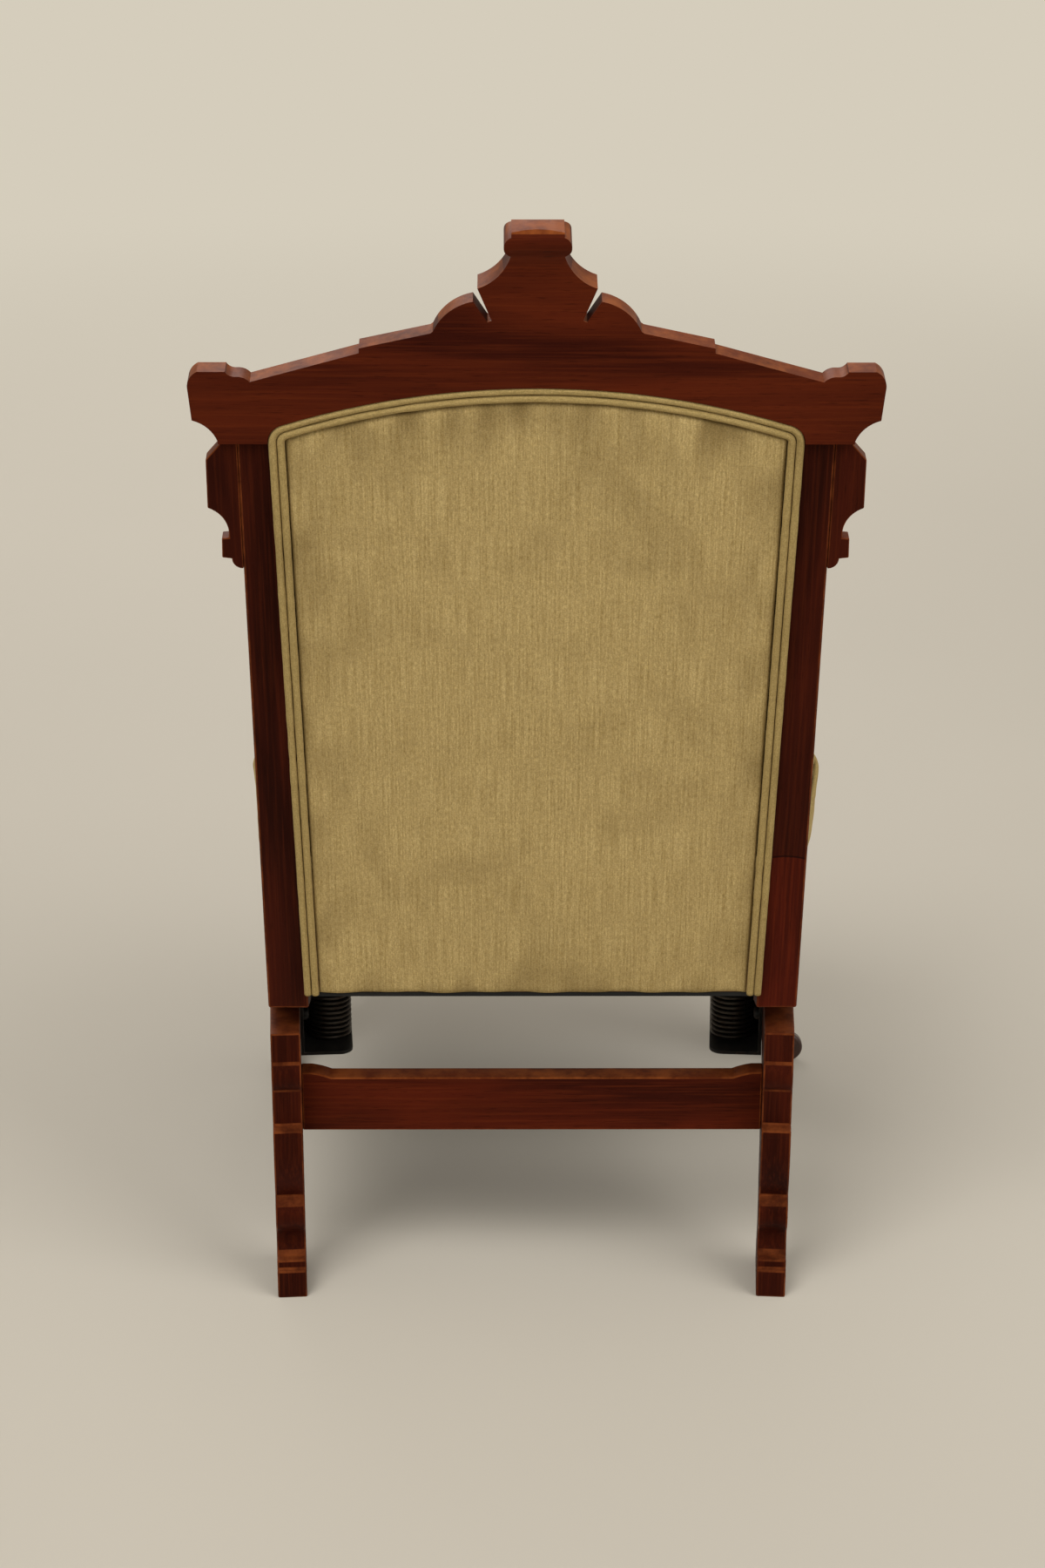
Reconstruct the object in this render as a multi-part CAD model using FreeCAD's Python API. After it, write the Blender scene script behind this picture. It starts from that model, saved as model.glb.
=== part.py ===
import FreeCAD
import Part
import math
import os

# Platform rocker: an upholstered chair whose curved rockers roll on a fixed base.
# Millimetres, +Z up, the sitter faces -Y, the left side of the sitter is +X.
# The origin lies on the floor under the middle of the whole chair.

# Base, driving dimensions
REAR_FOOT_Y = 174.0
FRONT_STEM_Y = -307.0
TRACK_TOP_Z = 262.0
TRACK_DEPTH = 58.0
TRACK_SHOULDER = 16.0
PLANK = 26.5
REAR_OUTER_HALF = 231.0
FRONT_OUTER_HALF = 265.0
REAR_LEG_TOP_WIDTH = 78.0
REAR_LEG_ANKLE_WIDTH = 46.0
REAR_FOOT_WIDTH = 62.0
FRONT_LEG_TOP_WIDTH = 74.0
FRONT_LEG_ANKLE_WIDTH = 44.0
FRONT_FOOT_WIDTH = 54.0
FRONT_FOOT_Z = 52.0
STRETCHER_TOP_Z = 205.0
STRETCHER_HEIGHT = 53.0
STRETCHER_THICK = 20.0
STRETCHER_SET_BACK = 36.0
STRETCHER_SHOULDER = 5.0
STRETCHER_SHOULDER_LENGTH = 28.0

# Rockers and the spring units between base and chair
ROCKER_RADIUS = 600.0
CONTACT_Y = -8.0
ROLL_GAP = 0.3
ROCKER_FRONT_Y = -186.0
COIL_OUTER = 44.0
COIL_WIRE = 4.2
COIL_PITCH = 5.0
COIL_TURNS = 20
COIL_SPACING = 52.0
COIL_FROM_PLANK = 4.0
IRON = 3.0
TONGUE_LENGTH = 132.0
BOLT = 6.0
BOLT_LENGTH = 26.0
BOLT_EDGE = 8.0
BOLT_HEAD = 13.0
BOLT_HEAD_HEIGHT = 5.0

# Casters
WHEEL_DIAMETER = 32.0
WHEEL_WIDTH = 15.0
CASTER_TRAIL = 22.0
STEM_DIAMETER = 9.0
STEM_LENGTH = 34.0
SOCKET_WALL = 1.5
SOCKET_FLANGE = 24.0
SOCKET_FLANGE_THICK = 2.0
AXLE_DIAMETER = 5.0
FIT = 0.05
SIDE_GAP = 0.8
CHEEK = 3.0

# Back frame, which leans away from the seat
BACK_LEAN = 13.0
STILE_REAR_Y = 163.0
STILE_REAR_Z = 278.0
STILE_OUTER_HALF = 232.5
STILE_WIDTH = 35.5
STILE_DEPTH = 30.0
STILE_TOP = 572.5
CREST_FRONT = -19.0
CREST_PROUD = 6.0
CREST_MARGIN_FRONT = -10.5
FINIAL_BLOCK_HALF = 36.2
CREST_TOP = 753.0
CAP_ROLL = 15.0
CAP_SCOOP_START = 717.0
SLIT_WIDTH = 3.2
ARCH_PEAK = 620.5
ARCH_SHOULDER = 584.5
PANEL_TOP_HALF = 208.0
PANEL_BOTTOM_HALF = 200.0
PANEL_BOTTOM = 28.0
PANEL_CORNER = 16.0
PANEL_THICK = 4.0
WELT = 6.4
WELT_GAP = 0.2
WING_THICK = 12.0
BACK_RAIL_DEPTH = 22.0
BACK_TOP_RAIL_HEIGHT = 42.0
BACK_LOW_RAIL_BOTTOM = 168.0
BACK_LOW_RAIL_HEIGHT = 36.0
REAR_RAIL_TOP = 77.0
REAR_RAIL_FRONT = -28.0
BACK_CROSS_STRAPS = 4
BACK_LONG_STRAPS = 3

# Seat
RAIL_THICK = 32.0
RAIL_SET_IN = 6.0
RAIL_BOTTOM_Z = 305.0
RAIL_TOP_Z = 372.0
SEAT_FRONT_Y = -284.0
BORDER_BOTTOM_Z = 343.0
BORDER_TOP_Z = 386.0
CUSHION_TOP_Z = 448.0
CUSHION_REAR_Y = 150.0
CUSHION_REAR_HALF = 234.0
CUSHION_KNEE_HALF = 277.0
CUSHION_KNEE_Y = -180.0
CUSHION_FRONT_HALF = 262.0
CUSHION_FRONT_Y = -306.0
CUSHION_CORNER = 36.0
FRAME_CORNER = 28.0
SEAT_WELT = 6.0
BACK_PAD_BOTTOM = 158.0
BACK_PAD_TOP = 560.0
BACK_PAD_HALF = 212.0
BACK_PAD_THICK = 50.0
BACK_PAD_CORNER = 34.0
BACK_GIMP = 5.0
CORNER_BLOCK = 45.0
SEAT_STRAPS = 4
STRAP = 50.0
STRAP_THICK = 1.5
CLOTH_GAP = 0.3
DUST_COVER_THICK = 1.2

# Sizes that follow from the driving dimensions
REAR_INNER_HALF = REAR_OUTER_HALF - PLANK
SPLAY_RUN = REAR_FOOT_Y - FRONT_STEM_Y
SPLAY = math.degrees(math.atan((FRONT_OUTER_HALF - REAR_OUTER_HALF) / SPLAY_RUN))
ROCKER_CENTRE_Z = TRACK_TOP_Z + ROLL_GAP + ROCKER_RADIUS
STILE_INNER_HALF = STILE_OUTER_HALF - STILE_WIDTH
WHEEL_RADIUS = WHEEL_DIAMETER / 2
COIL_HEIGHT = (COIL_TURNS + 0.5) * COIL_PITCH + COIL_WIRE
DUST_COVER_Z = RAIL_BOTTOM_Z - 2 * STRAP_THICK - DUST_COVER_THICK
UPPER_TONGUE_Z = DUST_COVER_Z - CLOTH_GAP - IRON
LOWER_TONGUE_Z = UPPER_TONGUE_Z - IRON - COIL_HEIGHT - 2 * CLOTH_GAP
UPPER_BOLT_Z = (RAIL_BOTTOM_Z + TRACK_TOP_Z) / 2
LOWER_BOLT_Z = TRACK_TOP_Z - 0.6 * TRACK_DEPTH
COIL_X = REAR_INNER_HALF - COIL_FROM_PLANK - COIL_OUTER / 2

LEFT = 1
RIGHT = -1

# The left caster trails towards the back, the right one outwards
CASTER_TURN = {LEFT: 90.0, RIGHT: 180.0}


def vec(x, y, z):
    """Return one point or direction."""
    return FreeCAD.Vector(x, y, z)


def box(x0, x1, y0, y1, z0, z1):
    """Return a block between two corners."""
    return Part.makeBox(x1 - x0, y1 - y0, z1 - z0, vec(x0, y0, z0))


def trace(place, start, steps):
    """Return a closed wire; a step is a point, or a (middle, end) pair for an arc."""
    edges = []
    here = place(*start)
    for step in list(steps) + [start]:
        if isinstance(step[0], tuple):
            middle, end = place(*step[0]), place(*step[1])
            edges.append(Part.Arc(here, middle, end).toShape())
        else:
            end = place(*step)
            if here.distanceToPoint(end) < 1e-6:
                continue
            edges.append(Part.LineSegment(here, end).toShape())
        here = end
    return Part.Wire(edges)


def slab(wire, direction):
    """Return the solid swept by a closed flat wire along a direction."""
    return Part.Face(wire).extrude(direction)


def side_profile(x0, x1, start, steps):
    """Return a solid with a (y, z) outline between two values of x."""
    wire = trace(lambda y, z: vec(x0, y, z), start, steps)
    return slab(wire, vec(x1 - x0, 0, 0))


def back_profile(t0, t1, start, steps):
    """Return a solid with an (x, s) outline between two depths of the back."""
    wire = trace(lambda x, s: vec(x, t0, s), start, steps)
    return slab(wire, vec(0, t1 - t0, 0))


def unit(dx, dy):
    """Return a direction of length one and the length it had."""
    size = math.hypot(dx, dy)
    return dx / size, dy / size, size


def rounded_steps(points, radii):
    """Return the start and steps of a polygon with an arc at each corner."""
    corners = []
    count = len(points)
    for i, (px, py) in enumerate(points):
        ax, ay, _ = unit(points[i - 1][0] - px, points[i - 1][1] - py)
        following = points[(i + 1) % count]
        bx, by, _ = unit(following[0] - px, following[1] - py)
        half = math.acos(max(-1.0, min(1.0, ax * bx + ay * by))) / 2
        run = radii[i] / math.tan(half)
        mx, my, _ = unit(ax + bx, ay + by)
        reach = radii[i] / math.sin(half) - radii[i]
        first = (px + ax * run, py + ay * run)
        last = (px + bx * run, py + by * run)
        corners.append((first, (px + mx * reach, py + my * reach), last))
    steps = []
    for first, middle, last in corners:
        steps.append(first)
        steps.append((middle, last))
    start = steps.pop(0)
    return start, steps


def leaned(shape):
    """Move a piece of the back from its upright drawing to its leaning place."""
    moved = shape.copy()
    moved.rotate(vec(0, 0, 0), vec(1, 0, 0), -BACK_LEAN)
    moved.translate(vec(0, STILE_REAR_Y, STILE_REAR_Z))
    return moved


def splayed(shape, side):
    """Turn a piece of the left base plank outwards, and mirror it for the right."""
    moved = shape.copy()
    moved.rotate(vec(REAR_INNER_HALF, REAR_FOOT_Y, 0), vec(0, 0, 1), SPLAY)
    return on_side(moved, side)


def on_side(shape, side):
    """Return the piece on its side of the chair."""
    if side == LEFT:
        return shape
    return shape.mirror(vec(0, 0, 0), vec(1, 0, 0))


def inner_half(y):
    """Return half the clear width between the base planks at a place along Y."""
    return REAR_INNER_HALF + (REAR_FOOT_Y - y) * math.tan(math.radians(SPLAY))


def rocker_cylinder():
    """Return the large cylinder whose underside is the rolling curve."""
    half = FRONT_OUTER_HALF + PLANK
    centre = vec(-half, CONTACT_Y, ROCKER_CENTRE_Z)
    return Part.makeCylinder(ROCKER_RADIUS, 2 * half, centre, vec(1, 0, 0))


def rear_leg(side):
    """Return a rear leg, a scroll-sawn plank on its own foot."""
    back = REAR_FOOT_Y
    front = back - REAR_LEG_TOP_WIDTH
    ankle = back - REAR_LEG_ANKLE_WIDTH
    toe = back - REAR_FOOT_WIDTH
    below = TRACK_TOP_Z - TRACK_DEPTH - TRACK_SHOULDER
    steps = [
        (back - 10, 233),
        ((back - 5, 219), (back - 10, 206)),
        (back - 10, 172),
        (back, 170),
        ((back + 0.5, 166), (back, 162)),
        ((back - 3, 128), (back - 16, 97)),
        (back - 13, 95),
        ((back - 4, 79), (back - 12, 64)),
        ((back - 19, 50), (back - 12, 37)),
        (back - 4, 36),
        (back - 4, 28),
        (back, 27),
        (back, 0),
        (toe, 0),
        (toe, 27),
        (toe + 5, 28),
        (toe + 5, 36),
        ((ankle - 3, 58), (ankle - 8, 84)),
        (ankle - 13, 86),
        ((ankle - 19, 122), (front + 4, 150)),
        (front - 4, 153),
        ((front - 9, 170), (front, below)),
        (front, TRACK_TOP_Z),
    ]
    plank = side_profile(
        REAR_INNER_HALF, REAR_OUTER_HALF, (back - 10, TRACK_TOP_Z), steps
    )
    return splayed(plank, side)


def front_leg(side):
    """Return a front leg with the bore for its caster socket."""
    middle = FRONT_STEM_Y
    back = middle + FRONT_LEG_TOP_WIDTH / 2
    front = middle - FRONT_LEG_TOP_WIDTH / 2
    slim = FRONT_LEG_ANKLE_WIDTH / 2
    below = TRACK_TOP_Z - TRACK_DEPTH - TRACK_SHOULDER
    toe = FRONT_FOOT_WIDTH / 2
    steps = [
        (front, 214),
        ((front - 6, 203), (front, 192)),
        (front + 4, 190),
        ((middle - slim - 3, 158), (middle - slim, 124)),
        (middle - slim - 5, 122),
        ((middle - slim - 9, 108), (middle - slim - 1, 94)),
        ((middle - slim + 2, 85), (middle - toe + 3, 77)),
        (middle - toe, 76),
        (middle - toe, FRONT_FOOT_Z),
        (middle + toe, FRONT_FOOT_Z),
        (middle + toe, 76),
        (middle + toe - 3, 77),
        ((middle + slim - 2, 85), (middle + slim + 1, 94)),
        ((middle + slim + 9, 108), (middle + slim + 5, 122)),
        (middle + slim, 124),
        ((middle + slim + 3, 158), (back - 4, below)),
        (back, below),
        (back, TRACK_TOP_Z),
    ]
    plank = side_profile(
        REAR_INNER_HALF, REAR_OUTER_HALF, (front, TRACK_TOP_Z), steps
    )
    bore = Part.makeCylinder(
        STEM_DIAMETER / 2 + SOCKET_WALL + 2 * FIT,
        STEM_LENGTH + SOCKET_WALL,
        vec(REAR_INNER_HALF + PLANK / 2, middle, FRONT_FOOT_Z),
    )
    return splayed(plank.cut(bore), side)


def track_rail(side):
    """Return the rail between the legs that the rocker rolls on."""
    back = REAR_FOOT_Y - REAR_LEG_TOP_WIDTH
    front = FRONT_STEM_Y + FRONT_LEG_TOP_WIDTH / 2
    under = TRACK_TOP_Z - TRACK_DEPTH
    shoulder = TRACK_SHOULDER
    steps = [
        (back, under - shoulder),
        (back - 14, under - shoulder),
        ((back - 22, under - 5), (back - 34, under)),
        (front + 34, under),
        ((front + 22, under - 5), (front + 14, under - shoulder)),
        (front, under - shoulder),
        (front, TRACK_TOP_Z),
    ]
    rail = side_profile(REAR_INNER_HALF, REAR_OUTER_HALF, (back, TRACK_TOP_Z), steps)
    return splayed(rail.cut(bolt_holes(LOWER_BOLT_Z, FIT)), side)


def stretcher(y_face, towards):
    """Return a cross rail with raised ends, its outer face at y_face."""
    y_far = y_face + towards * STRETCHER_THICK
    low, high = min(y_face, y_far), max(y_face, y_far)
    narrow, wide = inner_half(high), inner_half(low)
    top = STRETCHER_TOP_Z
    bottom = top - STRETCHER_HEIGHT
    raised = top + STRETCHER_SHOULDER
    flat = wide - 0.36 * STRETCHER_SHOULDER_LENGTH
    bend = wide - 0.61 * STRETCHER_SHOULDER_LENGTH
    level = wide - STRETCHER_SHOULDER_LENGTH
    bend_z = top + 0.72 * STRETCHER_SHOULDER
    steps = [
        (wide, bottom),
        (wide, raised),
        (flat, raised),
        ((bend, bend_z), (level, top)),
        (-level, top),
        ((-bend, bend_z), (-flat, raised)),
        (-wide, raised),
    ]
    wire = trace(lambda x, z: vec(x, low, z), (-wide, bottom), steps)
    bar = slab(wire, vec(0, high - low, 0))
    corners = [(-narrow, high), (narrow, high), (wide, low), (-wide, low)]
    plan = trace(lambda x, y: vec(x, y, 0), corners[0], corners[1:])
    return bar.common(slab(plan, vec(0, 0, raised)))


def behind_stiles():
    """Return a large block whose front is the leaning front face of the stiles."""
    wide = 2 * FRONT_OUTER_HALF
    return leaned(box(-wide, wide, -STILE_DEPTH, wide, -wide, wide))


def rocker(side):
    """Return a rocker, a plank whose underside is cut to the rolling curve."""
    top = RAIL_BOTTOM_Z
    front = ROCKER_FRONT_Y
    steps = [
        (STILE_REAR_Y, TRACK_TOP_Z),
        (front + 22, TRACK_TOP_Z),
        (front + 22, top - 20),
        ((front + 13, top - 13), (front + 2, top - 14)),
        (front, top - 12),
        (front, top),
    ]
    plank = side_profile(REAR_INNER_HALF, REAR_OUTER_HALF, (STILE_REAR_Y, top), steps)
    plank = plank.cut(bolt_holes(UPPER_BOLT_Z, FIT))
    return splayed(plank, side).common(rocker_cylinder()).cut(behind_stiles())


def bend_middle(a, corner, b):
    """Return the middle of the arc that leaves a and reaches b by one corner."""
    half = (a + b) * 0.5
    out = corner - half
    chord = a.distanceToPoint(b) / 2
    rise = chord * math.tan(math.atan2(out.Length, chord) / 2)
    return half + out * (rise / out.Length)


def two_arcs(a, a_way, b, b_way):
    """Return two smoothly joined arcs from a to b along the two given directions."""
    gap = b - a
    both = a_way + b_way
    turn = 2 * (1 - a_way.dot(b_way))
    along = gap.dot(both)
    reach = (-along + math.sqrt(along * along + turn * gap.dot(gap))) / turn
    first = a + a_way * reach
    last = b - b_way * reach
    join = (first + last) * 0.5
    return [
        Part.Arc(a, bend_middle(a, first, join), join).toShape(),
        Part.Arc(join, bend_middle(join, last, b), b).toShape(),
    ]


def coil_point(half_turns):
    """Return a point of the spring and its direction, counted in half turns."""
    radius = (COIL_OUTER - COIL_WIRE) / 2
    angle = -math.pi / 2 - math.pi * half_turns
    height = COIL_PITCH * half_turns / 2
    slope = COIL_PITCH / (2 * math.pi * radius)
    ends = half_turns in (0, 2 * COIL_TURNS + 1)
    way = vec(math.sin(angle), -math.cos(angle), 0 if ends else slope)
    way.normalize()
    return vec(radius * math.cos(angle), radius * math.sin(angle), height), way


def coil(side, place):
    """Return one close-wound spring as a single unbroken tube, standing upright."""
    last = 2 * COIL_TURNS + 1
    tail = COIL_OUTER / 2 + COIL_FROM_PLANK - IRON - FIT
    start, start_way = coil_point(0)
    end, end_way = coil_point(last)
    edges = [Part.LineSegment(start - start_way * tail, start).toShape()]
    for k in range(last):
        a, a_way = coil_point(k)
        b, b_way = coil_point(k + 1)
        edges += two_arcs(a, a_way, b, b_way)
    edges.append(Part.LineSegment(end, end + end_way * tail).toShape())
    ring = Part.Circle(start - start_way * tail, start_way, COIL_WIRE / 2)
    tube = Part.Wire(edges).makePipeShell([Part.Wire([ring.toShape()])], True, False)
    seat_z = LOWER_TONGUE_Z + IRON + CLOTH_GAP + COIL_WIRE / 2
    tube.translate(vec(COIL_X, CONTACT_Y + place * COIL_SPACING / 2, seat_z))
    return splayed(tube, side)


def print_coil_gap():
    """Print the least gap between two neighbouring turns of a spring."""
    steps = 24
    radius = (COIL_OUTER - COIL_WIRE) / 2
    least = COIL_OUTER
    for k in range(steps):
        for j in range(steps // 2, 2 * steps):
            turned = 2 * math.pi * j / steps
            chord = 2 * radius * math.sin(turned / 2)
            rise = COIL_PITCH * j / steps
            least = min(least, math.hypot(chord, rise) - COIL_WIRE)
    print("least gap between spring turns:", round(least, 2), "mm")


def bolt_spots(z):
    """Return the places of the two bolts of a spring bracket on the plank."""
    reach = TONGUE_LENGTH / 2 - BOLT_EDGE
    return [(CONTACT_Y - reach, z), (CONTACT_Y + reach, z)]


def bolt_holes(z, extra):
    """Return the bores for the bolts of one bracket, drawn on the left plank."""
    holes = []
    for y, height in bolt_spots(z):
        start = vec(REAR_INNER_HALF - 2 * IRON, y, height)
        holes.append(Part.makeCylinder(BOLT / 2 + extra, BOLT_LENGTH, start, vec(1, 0, 0)))
    return Part.makeCompound(holes)


def spring_bracket(side, tongue_z, plate_z0, plate_z1, bolt_z):
    """Return an iron angle with a tongue across the springs and a bolted plate."""
    y0 = CONTACT_Y - TONGUE_LENGTH / 2
    y1 = CONTACT_Y + TONGUE_LENGTH / 2
    inner = COIL_X - COIL_OUTER / 2
    face = REAR_INNER_HALF
    tongue = box(inner, face, y0, y1, tongue_z, tongue_z + IRON)
    plate = box(face - IRON, face, y0, y1, plate_z0, plate_z1)
    rounding = [e for e in tongue.Edges if e.BoundBox.ZLength > IRON / 2]
    rounding = [e for e in rounding if e.BoundBox.XMax < inner + 1]
    tongue = tongue.makeFillet(12, rounding)
    angle = tongue.fuse(plate).removeSplitter().cut(bolt_holes(bolt_z, FIT))
    return splayed(angle, side)


def bracket_bolts(side, z):
    """Return the bolts of one bracket as separate solids."""
    bolts = []
    for y, height in bolt_spots(z):
        face = REAR_INNER_HALF - IRON
        shank = Part.makeCylinder(
            BOLT / 2, BOLT_LENGTH - 2 * IRON, vec(face, y, height), vec(1, 0, 0)
        )
        head = Part.makeCylinder(
            BOLT_HEAD / 2, BOLT_HEAD_HEIGHT, vec(face, y, height), vec(-1, 0, 0)
        )
        rim = [e for e in head.Edges if e.BoundBox.XMax < face - 1]
        head = head.makeFillet(BOLT_HEAD_HEIGHT * 0.6, rim[:1])
        bolts.append(splayed(head.fuse(shank).removeSplitter(), side))
    return Part.makeCompound(bolts)


def stem_place():
    """Return x and y of the left caster stem on the floor plan."""
    turn = math.radians(SPLAY)
    across, along = PLANK / 2, -SPLAY_RUN
    x = REAR_INNER_HALF + across * math.cos(turn) - along * math.sin(turn)
    y = REAR_FOOT_Y + across * math.sin(turn) + along * math.cos(turn)
    return x, y


def caster_socket(side):
    """Return the tube and flange that hold a caster stem in a front leg."""
    x, y = stem_place()
    low = FRONT_FOOT_Z - SOCKET_FLANGE_THICK
    outer = STEM_DIAMETER / 2 + SOCKET_WALL
    tube = Part.makeCylinder(outer, STEM_LENGTH + SOCKET_FLANGE_THICK, vec(x, y, low))
    flange = Part.makeCylinder(SOCKET_FLANGE / 2, SOCKET_FLANGE_THICK, vec(x, y, low))
    bore = Part.makeCylinder(STEM_DIAMETER / 2 + FIT, 2 * STEM_LENGTH, vec(x, y, low))
    return on_side(tube.fuse(flange).removeSplitter().cut(bore), side)


def placed_caster(shape, side):
    """Turn a caster piece to its resting trail and put it under its leg."""
    x, y = stem_place()
    moved = shape.copy()
    moved.rotate(vec(0, 0, 0), vec(0, 0, 1), CASTER_TURN[side])
    moved.translate(vec(side * x, y, 0))
    return moved


def caster_horn(side):
    """Return the swivelling stem and fork of a caster."""
    top = FRONT_FOOT_Z - SOCKET_FLANGE_THICK - SIDE_GAP
    half = WHEEL_WIDTH / 2 + SIDE_GAP + CHEEK
    boss = AXLE_DIAMETER / 2 + 3.5
    hub = STEM_DIAMETER
    steps = [
        (-hub, top - 7),
        (CASTER_TRAIL - boss, WHEEL_RADIUS - 1),
        ((CASTER_TRAIL, WHEEL_RADIUS - boss), (CASTER_TRAIL + boss, WHEEL_RADIUS + 1)),
        (hub + 3, top),
    ]
    wire = trace(lambda x, z: vec(x, -half, z), (-hub, top), steps)
    fork = slab(wire, vec(0, 2 * half, 0))
    room = WHEEL_WIDTH / 2 + SIDE_GAP
    axle_place = vec(CASTER_TRAIL, -room, WHEEL_RADIUS)
    slot = Part.makeCylinder(WHEEL_RADIUS + 2, 2 * room, axle_place, vec(0, 1, 0))
    hole = Part.makeCylinder(
        AXLE_DIAMETER / 2 + FIT, 4 * half, vec(CASTER_TRAIL, -2 * half, WHEEL_RADIUS),
        vec(0, 1, 0),
    )
    stem = Part.makeCylinder(STEM_DIAMETER / 2, STEM_LENGTH, vec(0, 0, top - 1))
    horn = fork.cut(slot).fuse(stem).removeSplitter().cut(hole)
    return placed_caster(horn, side)


def caster_axle(side):
    """Return the riveted axle of a caster wheel."""
    half = WHEEL_WIDTH / 2 + SIDE_GAP + CHEEK
    centre = vec(CASTER_TRAIL, -half, WHEEL_RADIUS)
    pin = Part.makeCylinder(AXLE_DIAMETER / 2, 2 * half, centre, vec(0, 1, 0))
    head = AXLE_DIAMETER / 2 + 1.2
    for y, way in ((-half, -1), (half, 1)):
        place = vec(CASTER_TRAIL, y, WHEEL_RADIUS)
        pin = pin.fuse(Part.makeCylinder(head, 1.6, place, vec(0, way, 0)))
    return placed_caster(pin.removeSplitter(), side)


def caster_wheel(side):
    """Return a caster wheel with rounded rims and a raised hub."""
    half = WHEEL_WIDTH / 2
    bore = AXLE_DIAMETER / 2 + FIT
    steps = [
        (half, bore + 3.5),
        (half - 1.5, bore + 5),
        (half - 1.5, WHEEL_RADIUS - 3.5),
        ((half - 2.5, WHEEL_RADIUS - 1), (half - 5, WHEEL_RADIUS)),
        (5 - half, WHEEL_RADIUS),
        ((2.5 - half, WHEEL_RADIUS - 1), (1.5 - half, WHEEL_RADIUS - 3.5)),
        (1.5 - half, bore + 5),
        (-half, bore + 3.5),
        (-half, bore),
    ]
    centre = vec(CASTER_TRAIL, 0, WHEEL_RADIUS)
    wire = trace(lambda y, r: centre + vec(0, y, r), (half, bore), steps)
    wheel = Part.Face(wire).revolve(centre, vec(0, 1, 0), 360)
    return placed_caster(wheel, side)


def stile(side):
    """Return an upright of the back, its foot cut to the rolling curve."""
    foot = -STILE_DEPTH
    plank = box(STILE_INNER_HALF, STILE_OUTER_HALF, -STILE_DEPTH, 0, foot, STILE_TOP)
    return on_side(leaned(plank).common(rocker_cylinder()), side)


def both_halves(start, steps):
    """Return a symmetrical outline from the half that starts and ends at x = 0."""
    here = start
    back = []
    for step in steps:
        bent = isinstance(step[0], tuple)
        end = step[1] if bent else step
        target = (-here[0], here[1])
        if bent:
            target = ((-step[0][0], step[0][1]), target)
        back.insert(0, target)
        here = end
    return start, steps + back


def crest_outline():
    """Return the sawn outline of the crest, its finial, lobes, steps and ears."""
    half = [
        ((12, CREST_TOP - 0.55), (19.8, CREST_TOP - 1.5)),
        (19.8, CREST_TOP - 4.5),
        ((24.4, CREST_TOP - 8), (25.4, CREST_TOP - 12.5)),
        ((24.2, CREST_TOP - 17.5), (20.2, CREST_TOP - 21.5)),
        ((29.2, CREST_TOP - 38.6), (45.2, CREST_TOP - 49)),
        (48.6, CREST_TOP - 59.6),
        ((68.5, CREST_TOP - 69.6), (79, CREST_TOP - 84.5)),
        (81, CREST_TOP - 86),
        (135.5, CREST_TOP - 98.5),
        (135.5, CREST_TOP - 102.5),
        (219.5, CREST_TOP - 127),
        ((223.5, CREST_TOP - 123.8), (230, CREST_TOP - 122.6)),
        ((234.8, CREST_TOP - 121.6), (238, CREST_TOP - 118.4)),
        (259.5, CREST_TOP - 118.4),
        ((265.5, CREST_TOP - 124), (267.4, CREST_TOP - 134)),
        (265.6, STILE_TOP + 20.5),
        ((253.5, STILE_TOP + 13.5), (246.5, STILE_TOP + 2)),
        (246.5, STILE_TOP),
        (0, STILE_TOP),
    ]
    return both_halves((0, CREST_TOP), half)


def crest_section():
    """Return the side view of the crest: flat board, scoop, rolled cap and eased top."""
    rear = CREST_PROUD
    return (CREST_FRONT, STILE_TOP), [
        (rear, STILE_TOP),
        (rear, CAP_SCOOP_START),
        ((rear + 1, CAP_SCOOP_START + 9), (rear + 5, CREST_TOP - 19)),
        ((CAP_ROLL, CREST_TOP - 10), (rear + 4, CREST_TOP - 1)),
        (rear + 2, CREST_TOP),
        (CREST_FRONT + 12, CREST_TOP),
        ((CREST_FRONT + 3.5, CREST_TOP - 3.5), (CREST_FRONT, CREST_TOP - 12)),
    ]


def crest_relief(wide):
    """Return what is worked off the front of the crest along its upper margin."""
    corners = [
        (wide, CREST_TOP - 152),
        (220, CREST_TOP - 152),
        (120, CREST_TOP - 124),
        (60, CREST_TOP - 108),
        (FINIAL_BLOCK_HALF, CREST_TOP - 104),
        (FINIAL_BLOCK_HALF, CREST_TOP - 76.8),
        (47, CREST_TOP - 50),
        (wide, CREST_TOP - 50),
    ]
    board = back_profile(CREST_FRONT - 1, CREST_MARGIN_FRONT, corners[0], corners[1:])
    return board.fuse(on_side(board, RIGHT))


def crest_rail():
    """Return the crest, with its two slits and the rabbet for the outside back."""
    start, steps = crest_outline()
    board = back_profile(CREST_FRONT, CAP_ROLL + 2, start, steps)
    wide = 2 * STILE_OUTER_HALF
    start, steps = crest_section()
    wire = trace(lambda t, s: vec(-wide, t, s), start, steps)
    board = board.common(slab(wire, vec(2 * wide, 0, 0)))
    board = board.cut(crest_relief(wide))
    slit = [
        (45.2, CREST_TOP - 49),
        (52, CREST_TOP - 54.2),
        (34.6 + SLIT_WIDTH, CREST_TOP - 77),
        (34.6, CREST_TOP - 75.5),
    ]
    deep = CAP_ROLL + 2
    cut = back_profile(CREST_FRONT - 1, deep, slit[0], slit[1:])
    board = board.cut(cut).cut(on_side(cut, RIGHT))
    rabbet = Part.Face(panel_wire(-CLOTH_GAP, 0)).extrude(vec(0, deep, 0))
    return leaned(board.cut(rabbet))


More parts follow.
